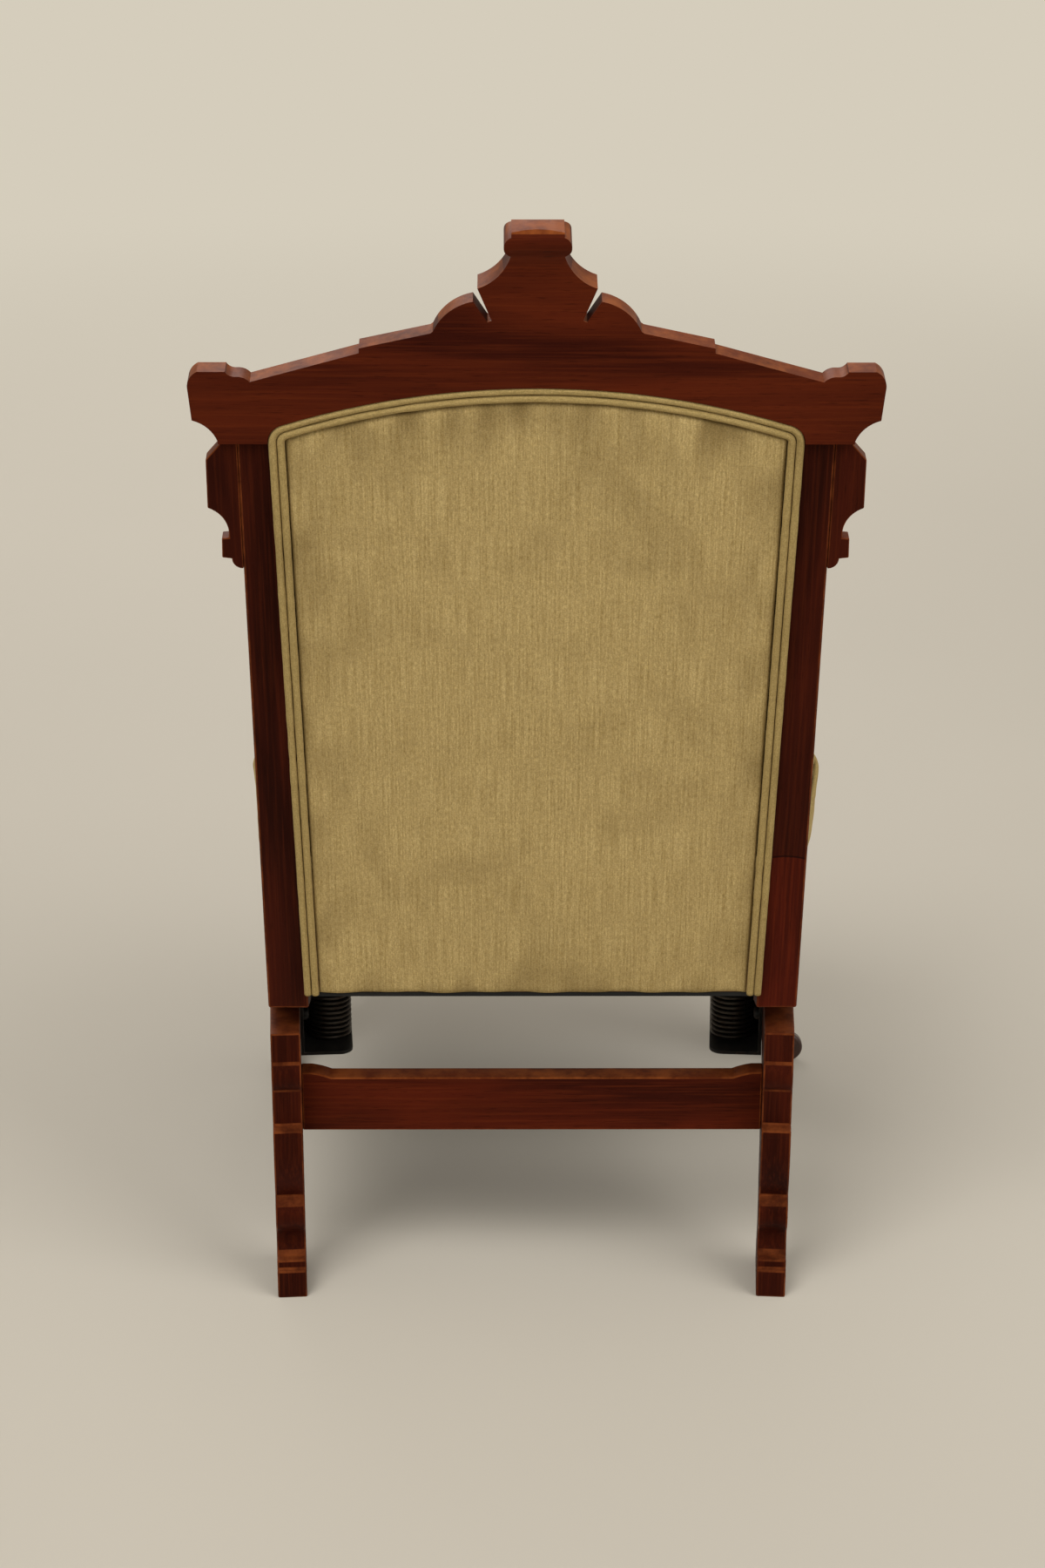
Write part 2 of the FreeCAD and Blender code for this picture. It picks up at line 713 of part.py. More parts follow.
def panel_points(inset):
    """Return the corner points of the outside back, drawn in by an inset."""
    rise = ARCH_PEAK - ARCH_SHOULDER
    arch = (PANEL_TOP_HALF ** 2 + rise ** 2) / (2 * rise)
    centre_s = ARCH_PEAK - arch
    ux, us, _ = unit(PANEL_TOP_HALF - PANEL_BOTTOM_HALF, ARCH_SHOULDER - PANEL_BOTTOM)
    nx, ns = -us, ux
    bx = PANEL_BOTTOM_HALF + nx * PANEL_CORNER
    bs = PANEL_BOTTOM + ns * PANEL_CORNER - centre_s
    along = bx * ux + bs * us
    rest = bx * bx + bs * bs - (arch - PANEL_CORNER) ** 2
    run = -along + math.sqrt(along * along - rest)
    cx, cs = bx + run * ux, bs + run * us
    rx, rs, _ = unit(cx, cs)
    mx, ms, _ = unit(rx - nx, rs - ns)
    small = PANEL_CORNER - inset
    cs += centre_s
    return {
        "foot": (PANEL_BOTTOM_HALF + nx * inset, PANEL_BOTTOM + ns * inset),
        "side": (cx - nx * small, cs - ns * small),
        "corner": (cx + mx * small, cs + ms * small),
        "shoulder": (cx + rx * small, cs + rs * small),
        "peak": (0, ARCH_PEAK - inset),
    }


def panel_edges(inset, t):
    """Return the open line up one side, over the arch and down the other."""
    p = {name: vec(x, t, s) for name, (x, s) in panel_points(inset).items()}
    m = {name: vec(-v.x, v.y, v.z) for name, v in p.items()}
    return [
        Part.LineSegment(p["foot"], p["side"]).toShape(),
        Part.Arc(p["side"], p["corner"], p["shoulder"]).toShape(),
        Part.Arc(p["shoulder"], p["peak"], m["shoulder"]).toShape(),
        Part.Arc(m["shoulder"], m["corner"], m["side"]).toShape(),
        Part.LineSegment(m["side"], m["foot"]).toShape(),
    ]


def panel_wire(inset, t):
    """Return the closed outline of the outside back."""
    foot = panel_points(inset)["foot"]
    ends = [vec(-foot[0], t, foot[1]), vec(foot[0], t, foot[1])]
    return Part.Wire(panel_edges(inset, t) + [Part.LineSegment(*ends).toShape()])


def tube(edges, diameter):
    """Return a round tube along an open path."""
    first = edges[0]
    ring = Part.Circle(
        first.valueAt(first.FirstParameter),
        first.tangentAt(first.FirstParameter),
        diameter / 2,
    )
    return Part.Wire(edges).makePipeShell([Part.Wire([ring.toShape()])], True, False)


def outside_back():
    """Return the cloth-covered panel that closes the back."""
    inset = 2 * WELT + 2 * WELT_GAP
    return leaned(Part.Face(panel_wire(inset, 0)).extrude(vec(0, PANEL_THICK, 0)))


def outside_back_welt(turn):
    """Return one cord of the double welt, counted from the outside."""
    inset = WELT / 2 + turn * (WELT + WELT_GAP)
    return leaned(tube(panel_edges(inset, WELT / 2), WELT))


def wing_bracket(side):
    """Return the small sawn bracket under an ear of the crest."""
    root = STILE_OUTER_HALF
    top = STILE_TOP
    steps = [
        (root + 14, top),
        (root + 14, top - 4),
        (root + 25, top - 17),
        (root + 25.8, top - 60),
        ((root + 15.5, top - 67.5), (root + 10.2, top - 81)),
        (root + 10.2, top - 87),
        (root + 16, top - 87.5),
        (root + 16.6, top - 105),
        (root + 8.8, top - 106),
        ((root + 6.5, top - 112.5), (root, top - 115)),
    ]
    board = back_profile(-WING_THICK, 0, (root, top), steps)
    return on_side(leaned(board), side)


def back_rail(bottom, height):
    """Return a cross rail between the stiles."""
    half = STILE_INNER_HALF
    rail = box(-half, half, -STILE_DEPTH, BACK_RAIL_DEPTH - STILE_DEPTH, bottom, bottom + height)
    return leaned(rail)


def seat_rear_rail():
    """Return the rail at the foot of the back, which closes the seat frame."""
    half = STILE_INNER_HALF
    rail = leaned(box(-half, half, REAR_RAIL_FRONT, 0, 0, REAR_RAIL_TOP))
    under = box(-2 * half, 2 * half, 0, 2 * STILE_REAR_Y, 0, RAIL_BOTTOM_Z)
    return rail.cut(under)


def back_webbing():
    """Return the straps across and along the back, each its own solid."""
    straps = []
    low = BACK_LOW_RAIL_BOTTOM
    front = -STILE_DEPTH
    top = STILE_TOP - 0.75 * BACK_TOP_RAIL_HEIGHT
    span = top - low
    reach = BACK_PAD_HALF - 2
    for k in range(BACK_CROSS_STRAPS):
        s = low + span * (k + 0.5) / BACK_CROSS_STRAPS
        ends = (s - STRAP / 2, s + STRAP / 2)
        straps.append(box(-reach, reach, front - STRAP_THICK, front, *ends))
    for k in range(BACK_LONG_STRAPS):
        x = STILE_INNER_HALF * (2 * k + 1 - BACK_LONG_STRAPS) / BACK_LONG_STRAPS
        layer = front - STRAP_THICK
        straps.append(box(x - STRAP / 2, x + STRAP / 2, layer - STRAP_THICK, layer, low, top))
    return leaned(Part.makeCompound(straps))


def padded(points, radii, centre, layers, place):
    """Return a cushion lofted through scaled copies of one rounded outline."""
    wires = []
    for level, scale in layers:
        shrunk = [
            (centre[0] + (x - centre[0]) * scale, centre[1] + (y - centre[1]) * scale)
            for x, y in points
        ]
        start, steps = rounded_steps(shrunk, [r * scale for r in radii])
        wires.append(trace(lambda x, y: place(x, y, level), start, steps))
    return Part.makeLoft(wires, True, False)


def back_pad():
    """Return the padded inside back with its crown."""
    half = BACK_PAD_HALF
    low = BACK_PAD_BOTTOM
    high = BACK_PAD_TOP
    points = [(-half + 8, low), (half - 8, low), (half, high - 24), (0, high + 8)]
    points.append((-half, high - 24))
    radii = [BACK_PAD_CORNER, BACK_PAD_CORNER, BACK_PAD_CORNER, 500, BACK_PAD_CORNER]
    root = -STILE_DEPTH - 2 * STRAP_THICK - CLOTH_GAP
    shares = [(0, 0.975), (0.14, 1), (0.4, 1), (0.68, 0.95), (0.86, 0.84), (0.96, 0.66)]
    shares.append((1, 0.42))
    layers = [(root - BACK_PAD_THICK * share, scale) for share, scale in shares]
    pad = padded(points, radii, (0, (low + high) / 2), layers, lambda x, s, t: vec(x, t, s))
    return leaned(pad)


def back_pad_welt():
    """Return the cord that finishes the inside back on the stiles."""
    half = BACK_PAD_HALF + 4
    low = BACK_PAD_BOTTOM
    high = BACK_PAD_TOP - 16
    t = -STILE_DEPTH - BACK_GIMP / 2
    crown = BACK_PAD_TOP + 6
    corner = BACK_PAD_CORNER
    lean = corner * 0.3
    edges = [
        Part.LineSegment(vec(half, t, low), vec(half, t, high - corner)).toShape(),
        Part.Arc(
            vec(half, t, high - corner),
            vec(half - lean, t, high - lean + 2),
            vec(half - corner, t, high + 3),
        ).toShape(),
        Part.Arc(
            vec(half - corner, t, high + 3), vec(0, t, crown), vec(corner - half, t, high + 3)
        ).toShape(),
        Part.Arc(
            vec(corner - half, t, high + 3),
            vec(lean - half, t, high - lean + 2),
            vec(-half, t, high - corner),
        ).toShape(),
        Part.LineSegment(vec(-half, t, high - corner), vec(-half, t, low)).toShape(),
    ]
    return leaned(tube(edges, BACK_GIMP))


def rail_outer_half(y):
    """Return half the width over the side rails of the seat."""
    return inner_half(y) + PLANK - RAIL_SET_IN


def seat_plan(front, back, extra, z0, z1):
    """Return a tapering block as wide as the seat frame plus an extra each side."""
    corners = [
        (-rail_outer_half(front) - extra, front),
        (rail_outer_half(front) + extra, front),
        (rail_outer_half(back) + extra, back),
        (-rail_outer_half(back) - extra, back),
    ]
    wire = trace(lambda x, y: vec(x, y, z0), corners[0], corners[1:])
    return slab(wire, vec(0, 0, z1 - z0))


def round_plan(front, back, extra, z0, z1):
    """Return the same block with its two front corners rounded."""
    block = seat_plan(front, back, extra, z0, z1)
    upright = [e for e in block.Edges if e.BoundBox.ZLength > (z1 - z0) / 2]
    fronts = [e for e in upright if e.BoundBox.YMax < front + FRAME_CORNER / 2]
    return block.makeFillet(FRAME_CORNER + extra, fronts)


def seat_side_rail(side):
    """Return a side rail of the seat, between the front rail and the stile."""
    outer = REAR_OUTER_HALF - RAIL_SET_IN
    front = SEAT_FRONT_Y
    rail = box(outer - RAIL_THICK, outer, front, REAR_FOOT_Y, RAIL_BOTTOM_Z, RAIL_TOP_Z)
    ahead = box(0, 2 * outer, 2 * front, front + RAIL_THICK, 0, 2 * RAIL_TOP_Z)
    return on_side(splayed(rail, LEFT).cut(ahead).cut(behind_stiles()), side)


def seat_front_rail():
    """Return the front rail of the seat with its rounded corners."""
    front = SEAT_FRONT_Y
    return round_plan(front, front + RAIL_THICK, 0, RAIL_BOTTOM_Z, RAIL_TOP_Z)


def seat_corner_blocks():
    """Return the four glue blocks in the corners of the seat frame."""
    blocks = []
    back = STILE_REAR_Y - STILE_DEPTH - 6
    size = CORNER_BLOCK
    z0 = RAIL_TOP_Z - size
    for y, way in ((SEAT_FRONT_Y + RAIL_THICK, 1), (back, -1)):
        x = min(rail_outer_half(y), rail_outer_half(y + way * size)) - RAIL_THICK
        corners = [(x, y), (x, y + way * size), (x - size, y)]
        wire = trace(lambda px, py: vec(px, py, z0), corners[0], corners[1:])
        block = slab(wire, vec(0, 0, size - 4))
        blocks += [block, on_side(block, RIGHT)]
    return Part.makeCompound(blocks)


def seat_webbing():
    """Return the straps under the seat frame, each its own solid."""
    straps = []
    z = RAIL_BOTTOM_Z - STRAP_THICK
    front = SEAT_FRONT_Y + RAIL_THICK / 2
    back = STILE_REAR_Y - STILE_DEPTH + 6
    for k in range(SEAT_STRAPS):
        y = front + (back - front) * (k + 0.5) / SEAT_STRAPS
        half = inner_half(y + STRAP / 2) - 2
        straps.append(box(-half, half, y - STRAP / 2, y + STRAP / 2, z, RAIL_BOTTOM_Z))
    for k in range(SEAT_STRAPS):
        x = STILE_INNER_HALF * (2 * k + 1 - SEAT_STRAPS) / SEAT_STRAPS
        straps.append(box(x - STRAP / 2, x + STRAP / 2, front, back, z - STRAP_THICK, z))
    return Part.makeCompound(straps)


def dust_cover():
    """Return the black cloth under the seat, with its folded hem at the back."""
    z = DUST_COVER_Z
    front = SEAT_FRONT_Y + RAIL_THICK / 4
    rail_rear = STILE_REAR_Y + (RAIL_BOTTOM_Z - STILE_REAR_Z) * math.tan(
        math.radians(BACK_LEAN)
    )
    half_front = inner_half(front) - 2
    half_back = STILE_INNER_HALF - 1
    step = STILE_REAR_Y - STILE_DEPTH - 4
    half_step = inner_half(step) - 2
    corners = [(half_front, front), (half_step, step), (half_back, step), (half_back, rail_rear)]
    corners += [(-x, y) for x, y in reversed(corners)]
    wire = trace(lambda x, y: vec(x, y, z), corners[0], corners[1:])
    sheet = slab(wire, vec(0, 0, DUST_COVER_THICK))
    hem = box(-half_back, half_back, rail_rear - 4, rail_rear, z, RAIL_BOTTOM_Z)
    return sheet.fuse(hem).removeSplitter()


def seat_stuffing():
    """Return the stuffing between the webbing and the cushion."""
    front = SEAT_FRONT_Y
    back = CUSHION_REAR_Y - 4
    edge = RAIL_THICK + CLOTH_GAP
    top = BORDER_TOP_Z + SEAT_WELT / 2
    over = round_plan(front + 1, back, -1, RAIL_TOP_Z + CLOTH_GAP, top)
    within = seat_plan(
        front + edge, back - edge, -edge, RAIL_BOTTOM_Z + CLOTH_GAP, top
    )
    blocks = seat_corner_blocks()
    return over.fuse(within).removeSplitter().cut(grown(blocks)).cut(behind_stiles())


def grown(blocks):
    """Return slightly larger stand-ins of the corner blocks, to keep cloth off."""
    parts = []
    for solid in blocks.Solids:
        b = solid.BoundBox
        gap = CLOTH_GAP
        parts.append(
            box(b.XMin - gap, b.XMax + gap, b.YMin - gap, b.YMax + gap, b.ZMin - gap, b.ZMax + gap)
        )
    return Part.makeCompound(parts)


def cushion_plan():
    """Return the corners and radii of the seat seen from above."""
    points = [
        (CUSHION_REAR_HALF, CUSHION_REAR_Y),
        (CUSHION_KNEE_HALF, CUSHION_KNEE_Y),
        (CUSHION_FRONT_HALF, CUSHION_FRONT_Y),
    ]
    points += [(-x, y) for x, y in reversed(points)]
    radii = [16, 120, CUSHION_CORNER, CUSHION_CORNER, 120, 16]
    return points, radii, (0, (CUSHION_REAR_Y + CUSHION_FRONT_Y) / 2)


def seat_cushion():
    """Return the upholstered top of the seat with its crown."""
    points, radii, centre = cushion_plan()
    z0 = BORDER_TOP_Z + SEAT_WELT / 2 + CLOTH_GAP
    rise = CUSHION_TOP_Z - z0
    shares = [
        (0, 0.985), (0.1, 1), (0.28, 1.004), (0.48, 0.992), (0.66, 0.955),
        (0.8, 0.885), (0.9, 0.78), (0.97, 0.62), (1, 0.4),
    ]
    layers = [(z0 + rise * share, scale) for share, scale in shares]
    return padded(points, radii, centre, layers, vec)


def seat_border():
    """Return the padded band round the front and sides of the seat frame."""
    points, radii, centre = cushion_plan()
    z0 = BORDER_BOTTOM_Z
    z1 = BORDER_TOP_Z - SEAT_WELT / 2 - CLOTH_GAP
    shares = [(0, 0.965), (0.16, 0.982), (0.5, 0.993), (0.84, 0.988), (1, 0.975)]
    layers = [(z0 + (z1 - z0) * share, scale) for share, scale in shares]
    band = padded(points, radii, centre, layers, vec)
    frame = round_plan(SEAT_FRONT_Y - CLOTH_GAP, REAR_FOOT_Y, CLOTH_GAP, z0 - 1, z1 + 1)
    return band.cut(frame)


def seat_welt():
    """Return the cord between the seat top and the band, round front and sides."""
    points, radii, centre = cushion_plan()
    share = 0.985
    corners = [
        (centre[0] + (x - centre[0]) * share, centre[1] + (y - centre[1]) * share)
        for x, y in points
    ]
    z = BORDER_TOP_Z
    edges = []
    here = vec(corners[0][0], corners[0][1], z)
    for k in range(1, len(corners) - 1):
        before, at, after = corners[k - 1], corners[k], corners[k + 1]
        ax, ay, _ = unit(before[0] - at[0], before[1] - at[1])
        bx, by, _ = unit(after[0] - at[0], after[1] - at[1])
        half = math.acos(ax * bx + ay * by) / 2
        run = radii[k] / math.tan(half)
        reach = radii[k] / math.sin(half) - radii[k]
        mx, my, _ = unit(ax + bx, ay + by)
        first = vec(at[0] + ax * run, at[1] + ay * run, z)
        middle = vec(at[0] + mx * reach, at[1] + my * reach, z)
        last = vec(at[0] + bx * run, at[1] + by * run, z)
        edges.append(Part.LineSegment(here, first).toShape())
        edges.append(Part.Arc(first, middle, last).toShape())
        here = last
    end = vec(corners[-1][0], corners[-1][1], z)
    edges.append(Part.LineSegment(here, end).toShape())
    return tube(edges, SEAT_WELT)


def base_pieces():
    """Return the pieces of the base that stands on the floor."""
    pieces = {}
    for name, side in (("left", LEFT), ("right", RIGHT)):
        pieces[name + "_rear_leg"] = rear_leg(side)
        pieces[name + "_front_leg"] = front_leg(side)
        pieces[name + "_track_rail"] = track_rail(side)
        pieces[name + "_caster_socket"] = caster_socket(side)
        pieces[name + "_lower_spring_bracket"] = spring_bracket(
            side, LOWER_TONGUE_Z, LOWER_TONGUE_Z, LOWER_BOLT_Z + 12, LOWER_BOLT_Z
        )
        pieces[name + "_lower_bracket_bolts"] = bracket_bolts(side, LOWER_BOLT_Z)
    rear_face = REAR_FOOT_Y - STRETCHER_SET_BACK
    front_face = FRONT_STEM_Y - STRETCHER_THICK / 2
    pieces["rear_stretcher"] = stretcher(rear_face, -1)
    pieces["front_stretcher"] = stretcher(front_face, 1)
    return pieces


def moving_pieces():
    """Return the springs and the casters."""
    pieces = {}
    for name, side in (("left", LEFT), ("right", RIGHT)):
        pieces[name + "_front_spring"] = coil(side, -1)
        pieces[name + "_rear_spring"] = coil(side, 1)
        pieces[name + "_caster_horn"] = caster_horn(side)
        pieces[name + "_caster_axle"] = caster_axle(side)
        pieces[name + "_caster_wheel"] = caster_wheel(side)
    return pieces


def chair_pieces():
    """Return the pieces of the chair that rocks on the base."""
    low_top = BACK_TOP_RAIL_HEIGHT
    pieces = {
        "crest_rail": crest_rail(),
        "back_top_rail": back_rail(STILE_TOP - low_top, low_top),
        "back_low_rail": back_rail(BACK_LOW_RAIL_BOTTOM, BACK_LOW_RAIL_HEIGHT),
        "back_webbing": back_webbing(),
        "back_pad": back_pad(),
        "back_pad_welt": back_pad_welt(),
        "outside_back": outside_back(),
        "outside_back_outer_welt": outside_back_welt(0),
        "outside_back_inner_welt": outside_back_welt(1),
        "seat_rear_rail": seat_rear_rail(),
        "seat_front_rail": seat_front_rail(),
        "seat_corner_blocks": seat_corner_blocks(),
        "seat_webbing": seat_webbing(),
        "seat_stuffing": seat_stuffing(),
        "seat_border": seat_border(),
        "seat_welt": seat_welt(),
        "seat_cushion": seat_cushion(),
        "dust_cover": dust_cover(),
    }
    for name, side in (("left", LEFT), ("right", RIGHT)):
        pieces[name + "_stile"] = stile(side)
        pieces[name + "_wing_bracket"] = wing_bracket(side)
        pieces[name + "_seat_rail"] = seat_side_rail(side)
        pieces[name + "_rocker"] = rocker(side)
        pieces[name + "_upper_spring_bracket"] = spring_bracket(
            side, UPPER_TONGUE_Z, UPPER_BOLT_Z - 16, UPPER_TONGUE_Z + IRON, UPPER_BOLT_Z
        )
        pieces[name + "_upper_bracket_bolts"] = bracket_bolts(side, UPPER_BOLT_Z)
    return pieces


def main():
    """Build every piece and write one file for each."""
    os.makedirs("parts", exist_ok=True)
    pieces = {**base_pieces(), **moving_pieces(), **chair_pieces()}
    for name, shape in pieces.items():
        shape.exportStep(os.path.join("parts", name + ".step"))
    print_coil_gap()
    print("pieces:", len(pieces))


main()
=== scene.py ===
"""A sprung platform rocker with a sawn mahogany frame and olive chenille covers.

Metres, +Z up, the sitter faces -Y. The chair stands on the floor at z = 0.
"""

import logging
import math
from dataclasses import dataclass
from enum import Enum
from functools import cache, partial
from typing import Any, Callable

import bmesh
import bpy
import numpy as np
from bpy.types import Mesh, NodeSocket, NodeTree, Object
from mathutils import Matrix


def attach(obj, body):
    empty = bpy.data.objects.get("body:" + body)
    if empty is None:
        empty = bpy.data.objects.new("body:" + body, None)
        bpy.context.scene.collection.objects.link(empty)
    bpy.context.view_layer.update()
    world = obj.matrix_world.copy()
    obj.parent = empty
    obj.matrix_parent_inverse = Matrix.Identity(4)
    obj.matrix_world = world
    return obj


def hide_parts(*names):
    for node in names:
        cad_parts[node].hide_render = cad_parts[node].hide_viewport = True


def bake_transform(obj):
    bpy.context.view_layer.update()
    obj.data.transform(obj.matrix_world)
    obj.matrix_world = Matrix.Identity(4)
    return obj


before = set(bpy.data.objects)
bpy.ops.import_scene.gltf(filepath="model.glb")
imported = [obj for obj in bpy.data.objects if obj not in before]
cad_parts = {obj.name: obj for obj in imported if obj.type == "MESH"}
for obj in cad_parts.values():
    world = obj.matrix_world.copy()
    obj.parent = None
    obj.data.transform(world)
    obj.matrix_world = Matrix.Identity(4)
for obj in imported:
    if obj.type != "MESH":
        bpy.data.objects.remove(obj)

log = logging.getLogger("platform_rocker")

Put = Callable[..., NodeSocket]
Plane = Callable[[float, float, float], np.ndarray]

SIDES = {"left": 1.0, "right": -1.0}
# The back leans, and its rear face starts here.
BACK_LEAN = math.radians(13)
BACK_COS, BACK_SIN = math.cos(BACK_LEAN), math.sin(BACK_LEAN)
BACK_Y, BACK_Z = 0.163, 0.278
BEHIND = np.array([0, BACK_COS, -BACK_SIN])
# The seat rails splay from the inner corner at their rear end.
RAIL_X, RAIL_Y = 0.2045, 0.174
SPLAY = math.radians(4.0431)
# A colour mix takes its colours at the inputs 6 and 7.
COLOURS = {"out": 2, "data_type": "RGBA"}
IRON_EDGE = 0.0005


class Grain(Enum):
    """The way the grain of a wooden piece runs, as the turn of its long axis from X."""

    ACROSS = (0.0, 0.0, 0.0)
    UPRIGHT = (0.0, -math.pi / 2, 0.0)
    ALONG = (0.0, 0.0, math.pi / 2)
    LEANING = (0.0, BACK_LEAN - math.pi / 2, math.pi / 2)


def linear(colour: str) -> tuple[float, float, float, float]:
    """Turns a colour as seen on a screen into the light that it stands for.

    Args:
        colour: Six hex digits, sRGB.

    Returns:
        Linear red, green, blue and a full alpha.
    """
    parts = [int(colour[i : i + 2], 16) / 255 for i in (0, 2, 4)]
    light = [c / 12.92 if c <= 0.04045 else ((c + 0.055) / 1.055) ** 2.4 for c in parts]
    return light[0], light[1], light[2], 1.0


def add(
    tree: NodeTree, kind: str, sockets: dict[str | int, Any], out: str | int = 0, **settings: Any
) -> NodeSocket:
    """Adds one shader node.

    Inputs 1 and 2 of a MapRange are the range it reads, 3 and 4 the range it gives.

    Args:
        tree: The node tree of the finish.
        kind: The node's type, without the words ShaderNode.
        sockets: For each named or numbered input a value, a hex colour or an output to link.
        out: The name or number of the output that is wanted.
        settings: Attributes of the node.

    Returns:
        That output.
    """
    node = tree.nodes.new("ShaderNode" + kind)
    for name, value in settings.items():
        setattr(node, name, value)
    for name, value in sockets.items():
        if isinstance(value, NodeSocket):
            tree.links.new(value, node.inputs[name])
        else:
            node.inputs[name].default_value = linear(value) if isinstance(value, str) else value
    return node.outputs[out]


@dataclass(frozen=True)
class Finish:
    """What a piece is made of: its name, the record's name for it, and the nodes that draw it."""

    name: str
    slot: str = ""

    @cache
    def material(self) -> bpy.types.Material:
        """Makes the finish's material, once for all the pieces that share it."""
        made = bpy.data.materials.new(self.name)
        made.use_nodes = True
        tree = made.node_tree
        tree.nodes.remove(tree.nodes["Principled BSDF"])
        surface = tree.nodes["Material Output"].inputs["Surface"]
        tree.links.new(self.shader(partial(add, tree)), surface)
        return made

    def shader(self, put: Put) -> NodeSocket:
        """Draws the surface.

        Args:
            put: Adds a node to the finish's tree.

        Returns:
            The shader's output.
        """
        raise NotImplementedError

    def dress(self, piece: Object) -> None:
        """Puts the finish on every face of a piece."""
        piece.data.materials.clear()
        piece.data.materials.append(self.material())


@dataclass(frozen=True)
class PolishedMahogany(Finish):
    """Mahogany, stained red-brown and varnished: ribbon figure, open pores, a soft gloss."""

    grain: Grain = Grain.UPRIGHT
    dark: str = "250b07"
    red: str = "3f150c"
    warm: str = "552210"
    # Lighter colour of scuffed edges and of the painted highlight on faces that look up.
    wear_and_top_light: str = "7c3f1e"
    graft: float = 0.0
    middle: float = 0.214

    def grafted(self, put: Put, place: NodeSocket, wood: NodeSocket) -> NodeSocket:
        """Stains the part below a bowed glue line redder, as a foot let in by a repairer.

        Args:
            put: Adds a node to the finish's tree.
            place: Object coordinates.
            wood: The colour of the old wood.

        Returns:
            The colour with the newer foot and the dark line between them.
        """
        x, z = (put("SeparateXYZ", {0: place}, axis) for axis in (0, 2))
        off = put("Math", {0: x, 1: self.middle}, operation="ADD")
        bow = put("Math", {0: off, 1: off}, operation="MULTIPLY")
        line = put("Math", {0: bow, 1: 9.0, 2: z}, operation="MULTIPLY_ADD")
        below = put("MapRange", {0: line, 1: self.graft - 0.0006, 2: self.graft, 3: 1.0, 4: 0.0})
        redder = {0: below, 6: wood, 7: (1.75, 1.35, 1.2, 1.0)}
        newer = put("Mix", redder, blend_type="MULTIPLY", **COLOURS)
        near = put("Math", {0: line, 1: self.graft}, operation="SUBTRACT")
        apart = put("Math", {0: near}, operation="ABSOLUTE")
        glue = put("MapRange", {0: apart, 1: 0.0004, 2: 0.0012, 3: 0.85, 4: 0.0})
        return put("Mix", {0: glue, 6: newer, 7: "160605"}, **COLOURS)

    def shader(self, put: Put) -> NodeSocket:
        """Ribbon bands 22 mm wide, streaks 2 mm wide and pores drawn 1 mm wide, along the grain."""
        place = put("TexCoord", {}, "Object")
        turned = {"Vector": place, "Rotation": self.grain.value}
        bands, streaks, pores = (
            put("Mapping", {**turned, "Scale": (long, wide, wide)}, vector_type="TEXTURE")
            for long, wide in ((0.30, 0.045), (0.10, 0.0022), (0.016, 0.0009))
        )
        figure = put("TexNoise", {"Vector": bands, "Scale": 1.0, "Detail": 3.0, "Distortion": 0.8})
        fine = put("TexNoise", {"Vector": streaks, "Scale": 1.0, "Detail": 3.0})
        pore = put("TexNoise", {"Vector": pores, "Scale": 1.0, "Detail": 1.0})
        figured = put("MapRange", {0: figure, 1: 0.34, 2: 0.66})
        ground = put("Mix", {0: figured, 6: self.dark, 7: self.red}, **COLOURS)
        share = put("MapRange", {0: fine, 1: 0.46, 2: 0.74, 4: 0.4})
        streaked = put("Mix", {0: share, 6: ground, 7: self.warm}, **COLOURS)
        open_pore = put("MapRange", {0: pore, 1: 0.62, 2: 0.72, 4: 0.4})
        pored = put("Mix", {0: open_pore, 6: streaked, 7: "180604"}, **COLOURS)
        wood = self.grafted(put, place, pored) if self.graft else pored
        # Lighter at scuffed edges and, as a painted highlight, on faces that look up, broken into
        # patches.
        edge = put("Attribute", {}, "Fac", attribute_name="wear_and_top_light")
        scuff = put("TexNoise", {"Vector": place, "Scale": 38.0, "Detail": 4.0, "Roughness": 0.7})
        patch = put("MapRange", {0: scuff, 1: 0.4, 2: 0.64, 3: 0.2, 4: 0.8})
        wear_and_top_light_share = put("Math", {0: edge, 1: patch}, operation="MULTIPLY")
        colour = put("Mix", {0: wear_and_top_light_share, 6: wood, 7: self.wear_and_top_light}, **COLOURS)
        haze = put("TexNoise", {"Vector": place, "Scale": 11.0, "Detail": 3.0})
        rough = put("MapRange", {0: haze, 1: 0.3, 2: 0.7, 3: 0.4, 4: 0.56})
        height = put("Math", {0: fine, 1: open_pore}, operation="SUBTRACT")
        bump = put("Bump", {"Height": height, "Strength": 0.16, "Distance": 0.0004})
        return put("BsdfPrincipled", {
            "Base Color": colour, "Roughness": rough, "IOR": 1.5, "Specular IOR Level": 0.12,
            "Specular Tint": "b8744a", "Normal": bump,
        })


@dataclass(frozen=True)
class SawnBeech(Finish):
    """Unfinished beech of the hidden frame: pale, dry, with short dark flecks."""

    grain: Grain = Grain.ACROSS

    def shader(self, put: Put) -> NodeSocket:
        """Growth lines 3 mm apart and rays 6 mm long, along the grain."""
        turned = {"Vector": put("TexCoord", {}, "Object"), "Rotation": self.grain.value}
        lines, rays = (
            put("Mapping", {**turned, "Scale": (long, wide, wide)}, vector_type="TEXTURE")
            for long, wide in ((0.2, 0.003), (0.006, 0.001))
        )
        tone = put("TexNoise", {"Vector": lines, "Scale": 1.0, "Detail": 4.0})
        ray = put("TexNoise", {"Vector": rays, "Scale": 1.0, "Detail": 0.0})
        ground = put("Mix", {0: tone, 6: "8e6a42", 7: "b08c5e"}, **COLOURS)
        share = put("MapRange", {0: ray, 1: 0.6, 2: 0.7, 4: 0.5})
        colour = put("Mix", {0: share, 6: ground, 7: "6b4a2a"}, **COLOURS)
        bump = put("Bump", {"Height": tone, "Strength": 0.3, "Distance": 0.0005})
        return put("BsdfPrincipled", {"Base Color": colour, "Roughness": 0.75, "Normal": bump})


